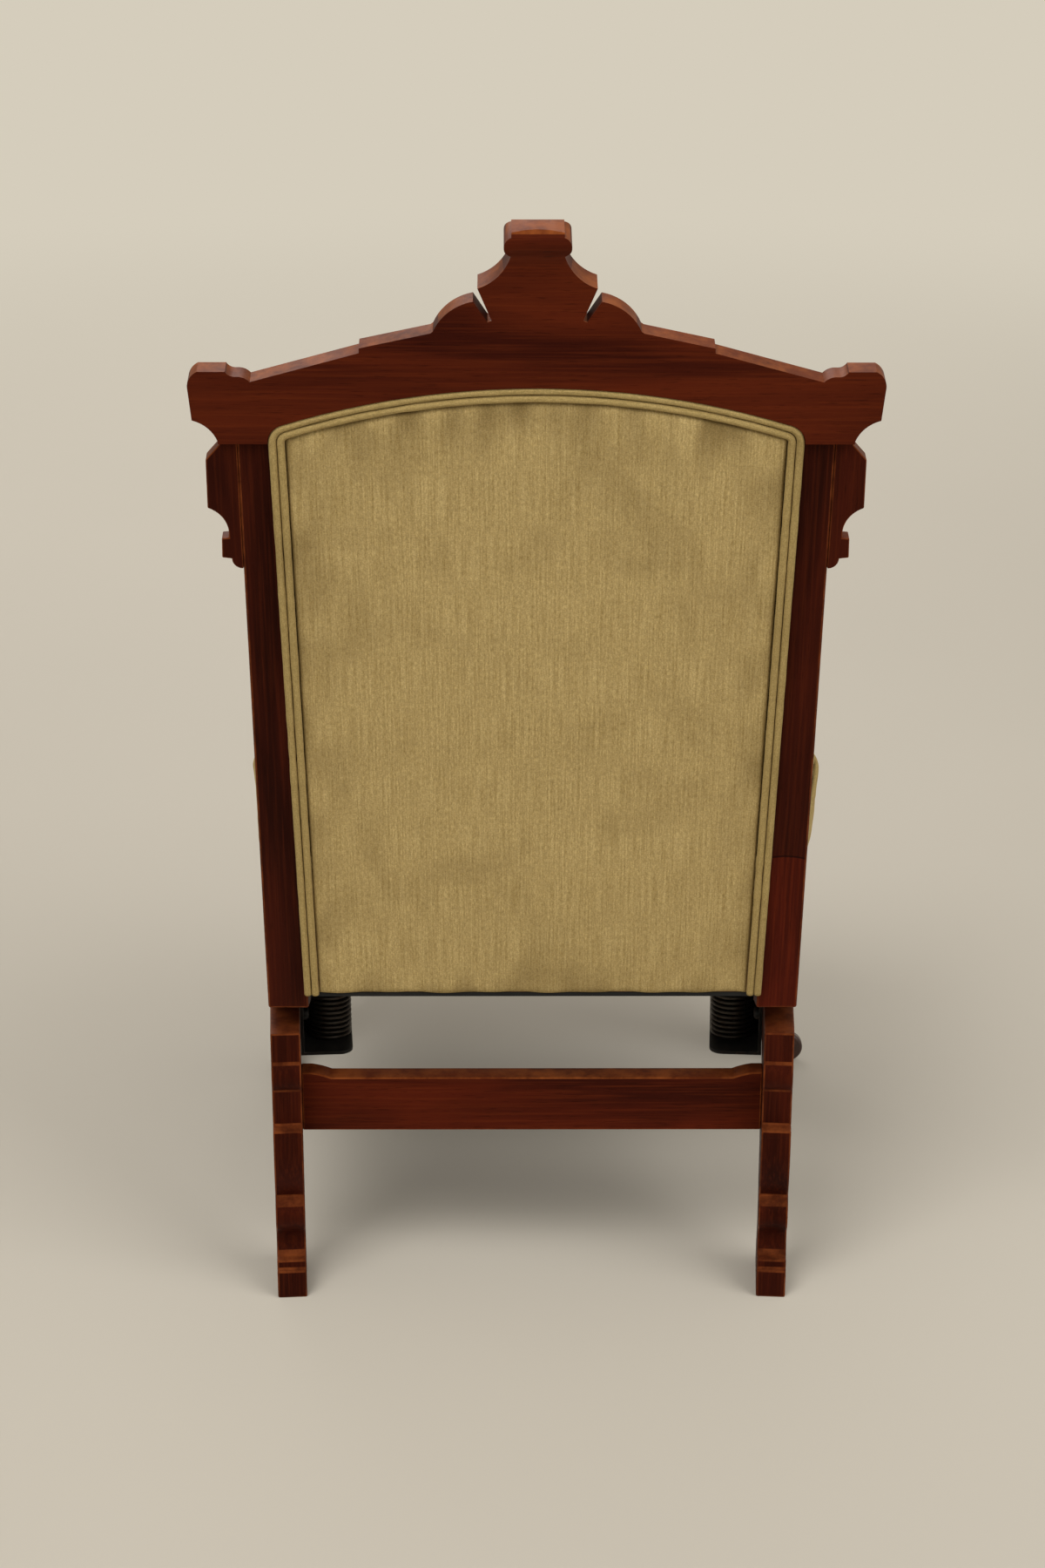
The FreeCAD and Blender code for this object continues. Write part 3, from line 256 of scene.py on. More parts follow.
@dataclass(frozen=True)
class OliveChenille(Finish):
    """Cotton chenille: upright slubs, a cut pile darker in patches, a faint sheen, painted shade
    where marked.
    """

    light: str = "cbb27a"
    mid: str = "9d8450"
    shade: str = "806a40"
    slub: float = 0.0015

    def shader(self, put: Put) -> NodeSocket:
        """Slubs 30 mm long, pile drawn 1 mm coarse, darker nap patches 90 mm wide, painted shade
        where marked.
        """
        cloth = put("UVMap", {}, uv_map="cloth")
        place = put("TexCoord", {}, "Object")
        slubs, knots = (
            put("Mapping", {"Vector": cloth, "Scale": (wide, long, 1.0)}, vector_type="TEXTURE")
            for wide, long in ((self.slub, 0.055), (self.slub * 0.8, 0.0045))
        )
        slub = put("TexNoise", {"Vector": slubs, "Scale": 1.0, "Detail": 2.0})
        knot = put("TexNoise", {"Vector": knots, "Scale": 1.0, "Detail": 1.0})
        pile = put("TexNoise", {"Vector": place, "Scale": 950.0, "Detail": 1.0})
        nap = put("TexNoise", {
            "Vector": place, "Scale": 9.0, "Detail": 5.0, "Roughness": 0.62, "Distortion": 0.5,
        })
        woven = put("Mix", {0: 0.45, 2: slub, 3: knot})
        thread = put("MapRange", {0: woven, 1: 0.3, 2: 0.7})
        ground = put("Mix", {0: thread, 6: self.mid, 7: self.light}, **COLOURS)
        # Darker nap in random patches, plus painted shade from the piece's mark along its rim.
        nap_and_rim_shade = put("MapRange", {0: nap, 1: 0.5, 2: 0.8, 4: 0.5})
        drawn = put("Attribute", {}, "Fac", attribute_name="nap_and_rim_shade")
        nap_and_painted_shade = put("Math", {0: nap_and_rim_shade, 1: drawn}, operation="ADD", use_clamp=True)
        colour = put("Mix", {0: nap_and_painted_shade, 6: ground, 7: self.shade}, **COLOURS)
        tuft = put("MapRange", {0: pile, 1: 0.35, 2: 0.65, 3: 0.82, 4: 1.1})
        flecked = put("Mix", {0: 1.0, 6: colour, 7: tuft}, blend_type="MULTIPLY", **COLOURS)
        height = put("Mix", {0: 0.35, 2: woven, 3: pile})
        bump = put("Bump", {"Height": height, "Strength": 0.42, "Distance": 0.0009})
        return put("BsdfPrincipled", {
            "Base Color": flecked, "Roughness": 0.9, "Specular IOR Level": 0.08,
            "Sheen Weight": 0.06, "Sheen Roughness": 0.4, "Sheen Tint": "d8bf80", "Normal": bump,
        })


@dataclass(frozen=True)
class WovenStrap(Finish):
    """Plain-woven jute: two thread systems at right angles, hairy and dull."""

    thread: float = 0.0024
    light: str = "a98a58"
    dark: str = "5e4526"

    def shader(self, put: Put) -> NodeSocket:
        """Warp and weft as two waves of one thread width, their product the knuckles.

        A wave of scale 1 is pi / 10 long.
        """
        cloth = put("UVMap", {}, uv_map="cloth")
        wave = {"Vector": cloth, "Scale": 0.314 / self.thread, "Distortion": 1.2, "Detail": 2.0}
        warp, weft = (put("TexWave", wave, "Fac", bands_direction=way) for way in "XY")
        knuckle = put("Math", {0: warp, 1: weft}, operation="MULTIPLY")
        colour = put("Mix", {0: knuckle, 6: self.dark, 7: self.light}, **COLOURS)
        bump = put("Bump", {"Height": knuckle, "Strength": 0.7, "Distance": 0.0008})
        return put("BsdfPrincipled", {"Base Color": colour, "Roughness": 0.93, "Normal": bump})


@dataclass(frozen=True)
class BlackCambric(Finish):
    """Thin glazed cotton dyed black: dusty, with a tight plain weave."""

    def shader(self, put: Put) -> NodeSocket:
        """Dust in soft clouds 60 mm wide over a weave drawn 1 mm coarse."""
        place = put("TexCoord", {}, "Object")
        dust = put("TexNoise", {"Vector": place, "Scale": 16.0, "Detail": 6.0})
        weave = put("TexNoise", {"Vector": place, "Scale": 900.0, "Detail": 0.0})
        share = put("MapRange", {0: dust, 1: 0.45, 2: 0.75, 4: 0.5})
        colour = put("Mix", {0: share, 6: "131211", 7: "2e2a26"}, **COLOURS)
        bump = put("Bump", {"Height": weave, "Strength": 0.25, "Distance": 0.0004})
        return put("BsdfPrincipled", {"Base Color": colour, "Roughness": 0.9, "Normal": bump})


@dataclass(frozen=True)
class AgedIron(Finish):
    """Iron or steel with old black varnish: scuffed grey edges, a painted grey highlight on tops,
    browned where it is thin.
    """

    base: str = "1b1815"
    metallic: float = 0.55
    roughness: float = 0.42

    def shader(self, put: Put) -> NodeSocket:
        """Brown patches 8 mm wide with speckles 1 mm wide."""
        place = put("TexCoord", {}, "Object")
        cloud = put("TexNoise", {"Vector": place, "Scale": 120.0, "Detail": 5.0, "Roughness": 0.7})
        speck = put("TexNoise", {"Vector": place, "Scale": 900.0, "Detail": 1.0})
        browned = put("MapRange", {0: cloud, 1: 0.5, 2: 0.72, 4: 0.7})
        colour = put("Mix", {0: browned, 6: self.base, 7: "3a2416"}, **COLOURS)
        # Grey where the edges are scuffed and, as a painted highlight, on faces that look up.
        edge = put("Attribute", {}, "Fac", attribute_name="wear_and_top_light")
        wear_and_top_light_share = put("Math", {0: edge, 1: cloud}, operation="MULTIPLY")
        shown = put("Mix", {0: wear_and_top_light_share, 6: colour, 7: "6d6862"}, **COLOURS)
        smooth, dull = self.roughness - 0.08, self.roughness + 0.2
        rough = put("MapRange", {0: cloud, 1: 0.3, 2: 0.7, 3: smooth, 4: dull})
        bump = put("Bump", {"Height": speck, "Strength": 0.2, "Distance": 0.0003})
        return put("BsdfPrincipled", {
            "Base Color": shown, "Metallic": self.metallic, "Roughness": rough, "Normal": bump,
        })


@dataclass(frozen=True)
class TurnedWheelWood(Finish):
    """Lignum wood of the caster wheels: near black with brown rings, polished by the floor."""

    def shader(self, put: Put) -> NodeSocket:
        """Streaks 2 mm wide."""
        place = put("TexCoord", {}, "Object")
        streak = put(
            "TexNoise", {"Vector": place, "Scale": 160.0, "Detail": 4.0, "Distortion": 1.0}
        )
        colour = put("Mix", {0: streak, 6: "1f0f0a", 7: "4a2618"}, **COLOURS)
        bump = put("Bump", {"Height": streak, "Strength": 0.2, "Distance": 0.0003})
        return put("BsdfPrincipled", {
            "Base Color": colour, "Roughness": 0.36, "Coat Weight": 0.2, "Normal": bump,
        })


@dataclass(frozen=True)
class StudioPaper(Finish):
    """Seamless backdrop paper: even, matt and pale."""

    colour: str = "c4bcae"
    wall: str = "d5cdbc"

    def shader(self, put: Put) -> NodeSocket:
        """One soft tone with a faint cloud, which glows evenly where it is far from the chair."""
        place = put("TexCoord", {}, "Object")
        cloud = put("TexNoise", {"Vector": place, "Scale": 1.2, "Detail": 2.0})
        tone = put("MapRange", {0: cloud, 3: 0.97, 4: 1.03})
        colour = put("Mix", {0: 1.0, 6: self.colour, 7: tone}, blend_type="MULTIPLY", **COLOURS)
        paper = put("BsdfPrincipled", {"Base Color": colour, "Roughness": 0.85})
        glow = put("Emission", {"Color": self.wall, "Strength": 1.0})
        away = put("VectorMath", {0: place}, "Value", operation="LENGTH")
        far = put("MapRange", {0: away, 1: 1.6, 2: 5.0}, interpolation_type="SMOOTHSTEP")
        seen, mirrored_ray = (put("LightPath", {}, f"Is {ray} Ray") for ray in ("Camera", "Glossy"))
        looked = put("Math", {0: seen, 1: mirrored_ray}, operation="MAXIMUM")
        share = put("Math", {0: far, 1: looked}, operation="MULTIPLY")
        return put("MixShader", {0: share, 1: paper, 2: glow})


ALONG = PolishedMahogany("mahogany_along", "mahogany", Grain.ALONG)
UPRIGHT = PolishedMahogany("mahogany_upright", "mahogany", Grain.UPRIGHT)
ACROSS = PolishedMahogany(
    "mahogany_across", "mahogany", Grain.ACROSS, "32100a", "521c0e", "682a12", "8c4a22"
)
CREST = PolishedMahogany(
    "mahogany_crest", "mahogany", Grain.ACROSS, "36110a", "56200f", "6a2c13", "9a5426"
)
LEANING = PolishedMahogany("mahogany_leaning", "mahogany", Grain.LEANING)
# The foot of the right stile is a later repair, glued on at this height.
MENDED = PolishedMahogany("mahogany_leaning_grafted", "mahogany", Grain.LEANING, graft=0.448)
BEECH = SawnBeech("sawn_beech", "frame_wood")
CHENILLE = OliveChenille("cut_pile_chenille", "olive_chenille")
CORDED = OliveChenille("chenille_over_cord", "olive_cord", "b59c66", "9a8350", "735d34", 0.0014)
JUTE = WovenStrap("jute_strap", "jute")
BURLAP = WovenStrap("stuffing_burlap", "stuffing", 0.003, "b39b6e", "6b5636")
CAMBRIC = BlackCambric("glazed_black_cambric", "black_cambric")
STRAP_IRON = AgedIron("japanned_strap_iron", "black_iron")
CAST_IRON = AgedIron("browned_cast_iron", "caster_iron", "241d18", 0.7, 0.4)
STEEL = AgedIron("blued_spring_steel", "spring_steel", "453e36", 0.85, 0.34)


def placed(name: str, data: bpy.types.ID) -> Object:
    """Puts a new object with the given data into the scene, and returns it."""
    thing = bpy.data.objects.new(name, data)
    bpy.context.scene.collection.objects.link(thing)
    return thing


def new_mesh(name: str, points: np.ndarray, faces: list[list[int]], cloth: np.ndarray) -> Object:
    """Makes a closed mesh whose faces point outwards.

    The signed volume is the sum over the faces of each fan triangle's box product.
    Where it is negative, every face is turned round.

    Args:
        name: The piece's name.
        points: One row for each corner.
        faces: Corner numbers of each face.
        cloth: For each face corner in turn, its place on the cloth.

    Returns:
        The new object.
    """
    fans = np.array([(f[0], f[k], f[k + 1]) for f in faces for k in range(1, len(f) - 1)])
    a, b, c = points[fans.T]
    step = -1 if np.einsum("ij,ij->i", a, np.cross(b, c)).sum() < 0 else 1
    mesh = bpy.data.meshes.new(name)
    mesh.from_pydata(points.tolist(), [], [f[::step] for f in faces])
    corners = np.split(cloth, np.cumsum([len(f) for f in faces])[:-1])
    order = np.concatenate([part[::step] for part in corners])
    layer = mesh.uv_layers.new(name="cloth")
    layer.data.foreach_set("uv", order.astype(np.float32).ravel())
    mesh.shade_smooth()
    return placed(name, mesh)


def sleeve(name: str, grid: np.ndarray, cloth: np.ndarray) -> Object:
    """Makes a closed tube-like skin from rings of points.

    Args:
        name: The piece's name.
        grid: Rings, points of a ring, xyz. Each ring joins up with itself.
        cloth: Place on the cloth, one more point to a ring than the grid has.

    Returns:
        The new object, with a face over each end.
    """
    rings, sides = grid.shape[:2]
    r, s = np.meshgrid(np.arange(rings - 1), np.arange(sides), indexing="ij")
    corners = [(r, s), (r, s + 1), (r + 1, s + 1), (r + 1, s)]
    quads = np.stack([a * sides + b % sides for a, b in corners], -1).reshape(-1, 4)
    places = np.stack([a * (sides + 1) + b for a, b in corners], -1).reshape(-1)
    flat = cloth.reshape(-1, 2)
    first, last = list(range(sides))[::-1], list(range((rings - 1) * sides, rings * sides))
    rims = [flat[first], flat[-sides - 1 : -1]]
    faces = quads.tolist() + [first, last]
    return new_mesh(name, grid.reshape(-1, 3), faces, np.concatenate([flat[places], *rims]))


def slab(name: str, front: np.ndarray, back: np.ndarray, cloth: np.ndarray) -> Object:
    """Joins two grids of the same size round their rims into one closed piece.

    Args:
        name: The piece's name.
        front: Rows, columns, xyz.
        back: The same points on the other face.
        cloth: Rows, columns, place on the cloth.

    Returns:
        The new object.
    """
    rows, columns = front.shape[:2]
    shift = rows * columns
    index = np.arange(shift).reshape(rows, columns)
    a, b, c, d = index[:-1, :-1], index[:-1, 1:], index[1:, 1:], index[1:, :-1]
    quads = np.stack([a, b, c, d], -1).reshape(-1, 4)
    rim = np.concatenate([index[0, :-1], index[:-1, -1], index[-1, :0:-1], index[:0:-1, 0]])
    following = np.roll(rim, -1)
    sides = np.stack([following, rim, rim + shift, following + shift], -1)
    faces = np.concatenate([quads, quads[:, ::-1] + shift, sides])
    flat = np.concatenate([cloth.reshape(-1, 2)] * 2)
    points = np.concatenate([front.reshape(-1, 3), back.reshape(-1, 3)])
    return new_mesh(name, points, faces.tolist(), flat[faces.ravel()])


def unit(rows: np.ndarray) -> np.ndarray:
    """Scales each row to length one."""
    return rows / np.linalg.norm(rows, axis=-1, keepdims=True)


def travelled(path: np.ndarray) -> np.ndarray:
    """Gives the length of a path up to each of its points."""
    return np.concatenate([[0], np.cumsum(np.linalg.norm(np.diff(path, axis=0), axis=1))])


def rope(
    name: str, path: np.ndarray, radius: float | np.ndarray, facing: np.ndarray, sides: int = 12
) -> Object:
    """Carries a circle along a path.

    At each point the circle stands square to the path: its first axis is the facing
    direction less its share along the path, its second the cross product of the two.

    Args:
        name: The piece's name.
        path: Points in order.
        radius: Of the circle, one for all or one for each point.
        facing: A direction that never lies along the path.
        sides: Points round the circle.

    Returns:
        The new object, laid out as cloth along and round the path.
    """
    along = unit(np.gradient(path, axis=0))
    first = unit(facing - (facing * along).sum(-1, keepdims=True) * along)
    second = np.cross(along, first)
    turn = np.arange(sides + 1)[None, :, None] * 2 * np.pi / sides
    wide = np.broadcast_to(radius, len(path))[:, None]
    ring = np.cos(turn) * first[:, None] + np.sin(turn) * second[:, None]
    grid = path[:, None] + wide[..., None] * ring
    cloth = np.stack(np.broadcast_arrays(wide * turn[..., 0], travelled(path)[:, None]), -1)
    return sleeve(name, grid[:, :-1], cloth)


def arc(start: complex, middle: complex, end: complex, count: int) -> np.ndarray:
    """Gives points of the circle through three points, evenly turned from start to end.

    Args:
        start: First point, as a complex number.
        middle: A point on the way.
        end: Last point.
        count: How many points.

    Returns:
        The points, as complex numbers.
    """
    w = (end - start) / (middle - start)
    centre = start + (middle - start) * (w - abs(w) ** 2) / (2j * w.imag)
    half = np.angle((middle - centre) / (start - centre)) % (2 * np.pi)
    full = np.angle((end - centre) / (start - centre)) % (2 * np.pi)
    if half > full:
        full -= 2 * np.pi
    return centre + (start - centre) * np.exp(1j * np.linspace(0, full, count))


def mirrored(half: np.ndarray) -> np.ndarray:
    """Completes an outline by the mirror image of its first half.

    Args:
        half: Complex numbers, the last of them on the middle line.

    Returns:
        A row of two numbers for each point.
    """
    whole = np.concatenate([half, -half[-2::-1].conjugate()])
    return np.stack([whole.real, whole.imag], -1)


def even(path: np.ndarray, step: float) -> np.ndarray:
    """Places points evenly along a path.

    Args:
        path: Points in order.
        step: About the distance between the new points.

    Returns:
        The new points, with the first and last kept.
    """
    run = travelled(path)
    keep = np.concatenate([[True], np.diff(run) > 1e-9])
    at = np.linspace(0, run[-1], max(3, round(run[-1] / step) + 1))
    return np.stack([np.interp(at, run[keep], path[keep, k]) for k in range(path.shape[1])], -1)


def ripple(points: np.ndarray, size: float, seed: int) -> np.ndarray:
    """Gives a smooth wandering value for each point.

    It is the mean of 24 plane sine waves in random directions, whose lengths lie about
    the given size, scaled to run from about -1 to 1.

    Args:
        points: Any number of rows, 2 or 3 columns.
        size: The middle wavelength.
        seed: Picks the waves.

    Returns:
        One value for each row.
    """
    waves = 24
    rng = np.random.default_rng(seed)
    ways = unit(rng.normal(size=(waves, points.shape[-1])))
    lengths = size * rng.uniform(0.6, 1.6, waves)
    phase = points @ (ways * (2 * np.pi / lengths)[:, None]).T + rng.uniform(0, 2 * np.pi, waves)
    return np.sin(phase).sum(-1) / math.sqrt(waves)


def leaned(x: np.ndarray, t: np.ndarray, s: np.ndarray) -> np.ndarray:
    """Places points of the back, drawn upright, where the leaning back stands.

    Args:
        x: Across the chair.
        t: Behind the rear face of the stiles.
        s: Up along the stiles, from their foot.

    Returns:
        The points in the chair's frame.
    """
    x, t, s = np.broadcast_arrays(x, t, s)
    y, z = BACK_Y + t * BACK_COS + s * BACK_SIN, BACK_Z - t * BACK_SIN + s * BACK_COS
    return np.stack([x, y, z], -1)


def slumped(points: np.ndarray) -> np.ndarray:
    """Shifts the seat's covers to the right, by 6 mm at the knees and nothing at the back.

    The shift is a bell curve of the distance from the knees.
    """
    moved = points.copy()
    moved[..., 0] -= 0.006 * np.exp(-(((points[..., 1] + 0.15) / 0.14) ** 2))
    return moved


def rail_inside(y: float | np.ndarray) -> float | np.ndarray:
    """Gives half the width between the splayed seat rails."""
    return RAIL_X + (RAIL_Y - y) * math.tan(SPLAY)


def welded(node: str) -> tuple[Mesh, bmesh.types.BMesh]:
    """Copies the mesh of a solid, and opens the copy with its doubled points joined."""
    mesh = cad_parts[node].data.copy()
    work = bmesh.new()
    work.from_mesh(mesh)
    bmesh.ops.remove_doubles(work, verts=work.verts, dist=2e-5)
    return mesh, work


def carried(piece: Object, body: str, finish: Finish, *nodes: str) -> Object:
    """Finishes a new piece, hides the solids it stands for, and lets it ride on a body.

    Args:
        piece: The new piece.
        body: The moving part that it belongs to.
        finish: What it is made of.
        nodes: The solids that it stands for.

    Returns:
        The piece.
    """
    finish.dress(piece)
    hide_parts(*nodes)
    log.info("%s: %d faces", piece.name, len(piece.data.polygons))
    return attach(piece, body)


def planed(node: str, body: str, finish: Finish, edge: float = 0.0012) -> None:
    """Puts a merged copy in a solid's place, its sharp edges eased.

    The eased edges are marked for wear, and the faces that look up for a painted highlight.

    Args:
        node: The solid's name.
        body: The moving part that it belongs to.
        finish: What it is made of.
        edge: Width of the eased edge.
    """
    mesh, work = welded(node)
    flat = math.radians(0.12)
    bmesh.ops.dissolve_limit(work, angle_limit=flat, verts=work.verts, edges=work.edges)
    corner = math.radians(26)
    sharp = [e for e in work.edges if len(e.link_faces) == 2 and e.calc_face_angle() > corner]
    wear_and_top_light = work.faces.layers.float.new("wear_and_top_light")
    eased = bmesh.ops.bevel(
        work, geom=sharp, offset=edge, segments=2, profile=0.5, affect="EDGES", clamp_overlap=True
    )
    # Faces that look up take most of the mark: a painted highlight, as if lit from above.
    for face in work.faces:
        face[wear_and_top_light] = 0.8 if face.normal.z > 0.55 else 0.0
    for face in eased["faces"]:
        face[wear_and_top_light] = 1.0
    work.to_mesh(mesh)
    work.free()
    mesh.shade_smooth()
    piece = placed(node + "_finished", mesh)
    piece.modifiers.new("shading", "WEIGHTED_NORMAL").keep_sharp = True
    carried(piece, body, finish, node)


def read(items: Any, name: str, columns: int = 3, kind: type = np.float32) -> np.ndarray:
    """Reads a value of each point, corner or face of a mesh, one row for each.

    Args:
        items: The points, corners or faces.
        name: The value's name.
        columns: Numbers in a row.
        kind: Type of the numbers.

    Returns:
        The rows.
    """
    flat = np.empty(len(items) * columns, kind)
    items.foreach_get(name, flat)
    return flat.reshape(-1, columns)


def coordinates(piece: Object) -> np.ndarray:
    """Reads the points of a piece."""
    return read(piece.data.vertices, "co").astype(float)


def normals(piece: Object) -> np.ndarray:
    """Reads the outward direction at each point of a piece."""
    return read(piece.data.vertex_normals, "vector").astype(float)


def move(piece: Object, points: np.ndarray) -> None:
    """Gives a piece's points new places."""
    piece.data.vertices.foreach_set("co", points.astype(np.float32).ravel())


@dataclass
class Padding:
    """Turns a plain stuffed solid into a full, slightly uneven cushion."""

    voxel: float = 0.008
    cap: float = 0.008
    pressure: float = 4.0
    frames: int = 20

    def remeshed(self, node: str, name: str, shrink: float) -> Object:
        """Copies a solid with an even net of faces, drawn in a little to leave room to swell.

        Args:
            node: The solid.
            name: The new piece's name.
            shrink: How far each point moves inwards.

        Returns:
            The copy.
        """
        mesh, work = welded(node)
        work.to_mesh(mesh)
        work.free()
        piece = placed(name, mesh)
        net = piece.modifiers.new("net", "REMESH")
        net.mode = "VOXEL"
        net.voxel_size = self.voxel
        bpy.context.view_layer.objects.active = piece
        bpy.ops.object.modifier_apply(modifier=net.name)
        move(piece, coordinates(piece) - shrink * normals(piece))
        return piece

    def swell(self, piece: Object, held: Callable[[np.ndarray], np.ndarray]) -> None:
        """Blows the cover up against its own stretch, and holds it where it is nailed.

        Args:
            piece: The cushion.
            held: Says for each point whether it is fixed.
        """
        rest = coordinates(piece)
        group = piece.vertex_groups.new(name="held")
        group.add(np.flatnonzero(held(rest)).tolist(), 1.0, "REPLACE")
        cloth = piece.modifiers.new("cover", "CLOTH")
        cloth.settings.use_pressure = True
        cloth.settings.uniform_pressure_force = self.pressure
        cloth.settings.effector_weights.gravity = 0
        cloth.settings.vertex_group_mass = group.name
        cloth.settings.quality = 5
        scene = bpy.context.scene
        for moment in range(1, self.frames + 1):
            scene.frame_set(moment)
        blown = coordinates(piece.evaluated_get(bpy.context.evaluated_depsgraph_get())) - rest
        size = np.linalg.norm(blown, axis=1, keepdims=True)
        piece.modifiers.remove(cloth)
        piece.vertex_groups.remove(group)
        move(piece, rest + blown * np.minimum(1, self.cap / np.maximum(size, 1e-9)))
        scene.frame_set(1)

    @staticmethod
    def smooth(piece: Object) -> None:
        """Adds one level of subdivision and makes it real."""
        bpy.context.view_layer.objects.active = piece
        finer = piece.modifiers.new("finer", "SUBSURF")
        finer.levels = finer.render_levels = 1
        bpy.ops.object.modifier_apply(modifier=finer.name)
        piece.data.shade_smooth()

    @staticmethod
    def lay_cloth(piece: Object, lean: float) -> None:
        """Lays the cover's pattern on the piece from the side that each face looks to.

        A face takes the two coordinates across its own largest direction.

        Args:
            piece: The cushion.
            lean: Turn about X that stands the piece's cloth upright.
        """
        mesh = piece.data
        turn = np.array(Matrix.Rotation(lean, 3, "X")).T
        at = (coordinates(piece) @ turn)[read(mesh.loops, "vertex_index", 1, np.int32)[:, 0]]
        sizes = read(mesh.polygons, "loop_total", 1, np.int32)[:, 0]
        facing = np.repeat(read(mesh.polygons, "normal") @ turn, sizes, axis=0)
        main = np.abs(facing).argmax(1)[:, None]
        place = np.where(main == 0, at[:, 1:], np.where(main == 1, at[:, ::2], at[:, :2]))
        layer = mesh.uv_layers.new(name="cloth")
        layer.data.foreach_set("uv", place.astype(np.float32).ravel())


@dataclass
class BaseFrame:
    """The two sawn side frames with their stretchers, brackets and bolts."""

    easing: float = 0.0014

    def build(self) -> None:
        """Planes the wooden pieces and dresses the iron."""
        for side in SIDES:
            for leg in ("rear_leg", "front_leg"):
                planed(f"{side}_{leg}", "base", UPRIGHT, self.easing)
            planed(f"{side}_track_rail", "base", ALONG, self.easing)
            planed(f"{side}_lower_spring_bracket", "base", STRAP_IRON, IRON_EDGE)
            STRAP_IRON.dress(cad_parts[f"{side}_lower_bracket_bolts"])
            CAST_IRON.dress(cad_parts[f"{side}_caster_socket"])
        for rail in ("rear_stretcher", "front_stretcher"):
            planed(rail, "base", ACROSS, self.easing)


@dataclass
class SpringSet:
    """Four close-wound springs under the seat."""

    outer: float = 0.044
    wire: float = 0.0042
    pitch: float = 0.005
    turns: float = 20.5
    tail: float = 0.02295
    middle_x: float = 0.1785
    middle_y: float = -0.008
    spacing: float = 0.052
    seat_z: float = 0.19259

    def path(self, side: float, place: float) -> np.ndarray:
        """Winds one spring.

        The angle runs back from the rear and the height climbs by the pitch each turn,
        while both ends run straight towards the plank.

        Args:
            side: 1 for the left, -1 for the right.
            place: -1 for the front spring, 1 for the rear one.

        Returns:
            Points along the wire.
        """
        radius = (self.outer - self.wire) / 2
        turned = np.linspace(0, self.turns, round(self.turns * 28) + 1)
        angle = -np.pi / 2 - 2 * np.pi * turned
        coil = np.stack([radius * np.cos(angle), radius * np.sin(angle), self.pitch * turned], -1)
        out = np.linspace(self.tail, 0.0012, 5)[:, None] * [1.0, 0, 0]
        wire = np.concatenate([coil[0] + out, coil, coil[-1] + out[::-1]])
        wire += [self.middle_x, self.middle_y + place * self.spacing / 2, self.seat_z]
        x, y = wire[:, 0] - RAIL_X, wire[:, 1] - RAIL_Y
        cos, sin = math.cos(SPLAY), math.sin(SPLAY)
        turned_x, turned_y = RAIL_X + x * cos - y * sin, RAIL_Y + x * sin + y * cos
        return np.stack([side * turned_x, turned_y, wire[:, 2]], -1)

    def build(self) -> None:
        """Winds the springs and sets each in its place."""
        tilt = np.array([0.03, 0.02, 1.0])
        for side, way in SIDES.items():
            for name, place in (("front", -1.0), ("rear", 1.0)):
                node = f"{side}_{name}_spring"
                piece = rope(node + "_wire", self.path(way, place), self.wire / 2, tilt, 10)
                STEEL.dress(piece)
                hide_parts(node)
                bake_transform(piece)


@dataclass
class CasterPair:
    """The two front casters, each a swivelling horn with an axle and a wheel."""

    edge: float = 0.0004

    def build(self) -> None:
        """Dresses the horns, axles and wheels."""
        for side in SIDES:
            planed(f"{side}_caster_horn", f"{side}_caster_swivel", CAST_IRON, self.edge)
            CAST_IRON.dress(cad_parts[f"{side}_caster_axle"])
            TurnedWheelWood("lignum_wheel").dress(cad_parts[f"{side}_caster_wheel"])


@dataclass
class BackFrame:
    """Stiles, crest, wing brackets and the hidden rails of the back."""

    def build(self) -> None:
        """Planes the wooden pieces of the back."""
        planed("crest_rail", "chair", CREST, 0.0016)
        for side, wood in (("left", LEANING), ("right", MENDED)):
            planed(f"{side}_stile", "chair", wood, 0.0018)
            planed(f"{side}_wing_bracket", "chair", LEANING, 0.0014)
        for rail in ("back_top_rail", "back_low_rail"):
            planed(rail, "chair", BEECH, 0.001)


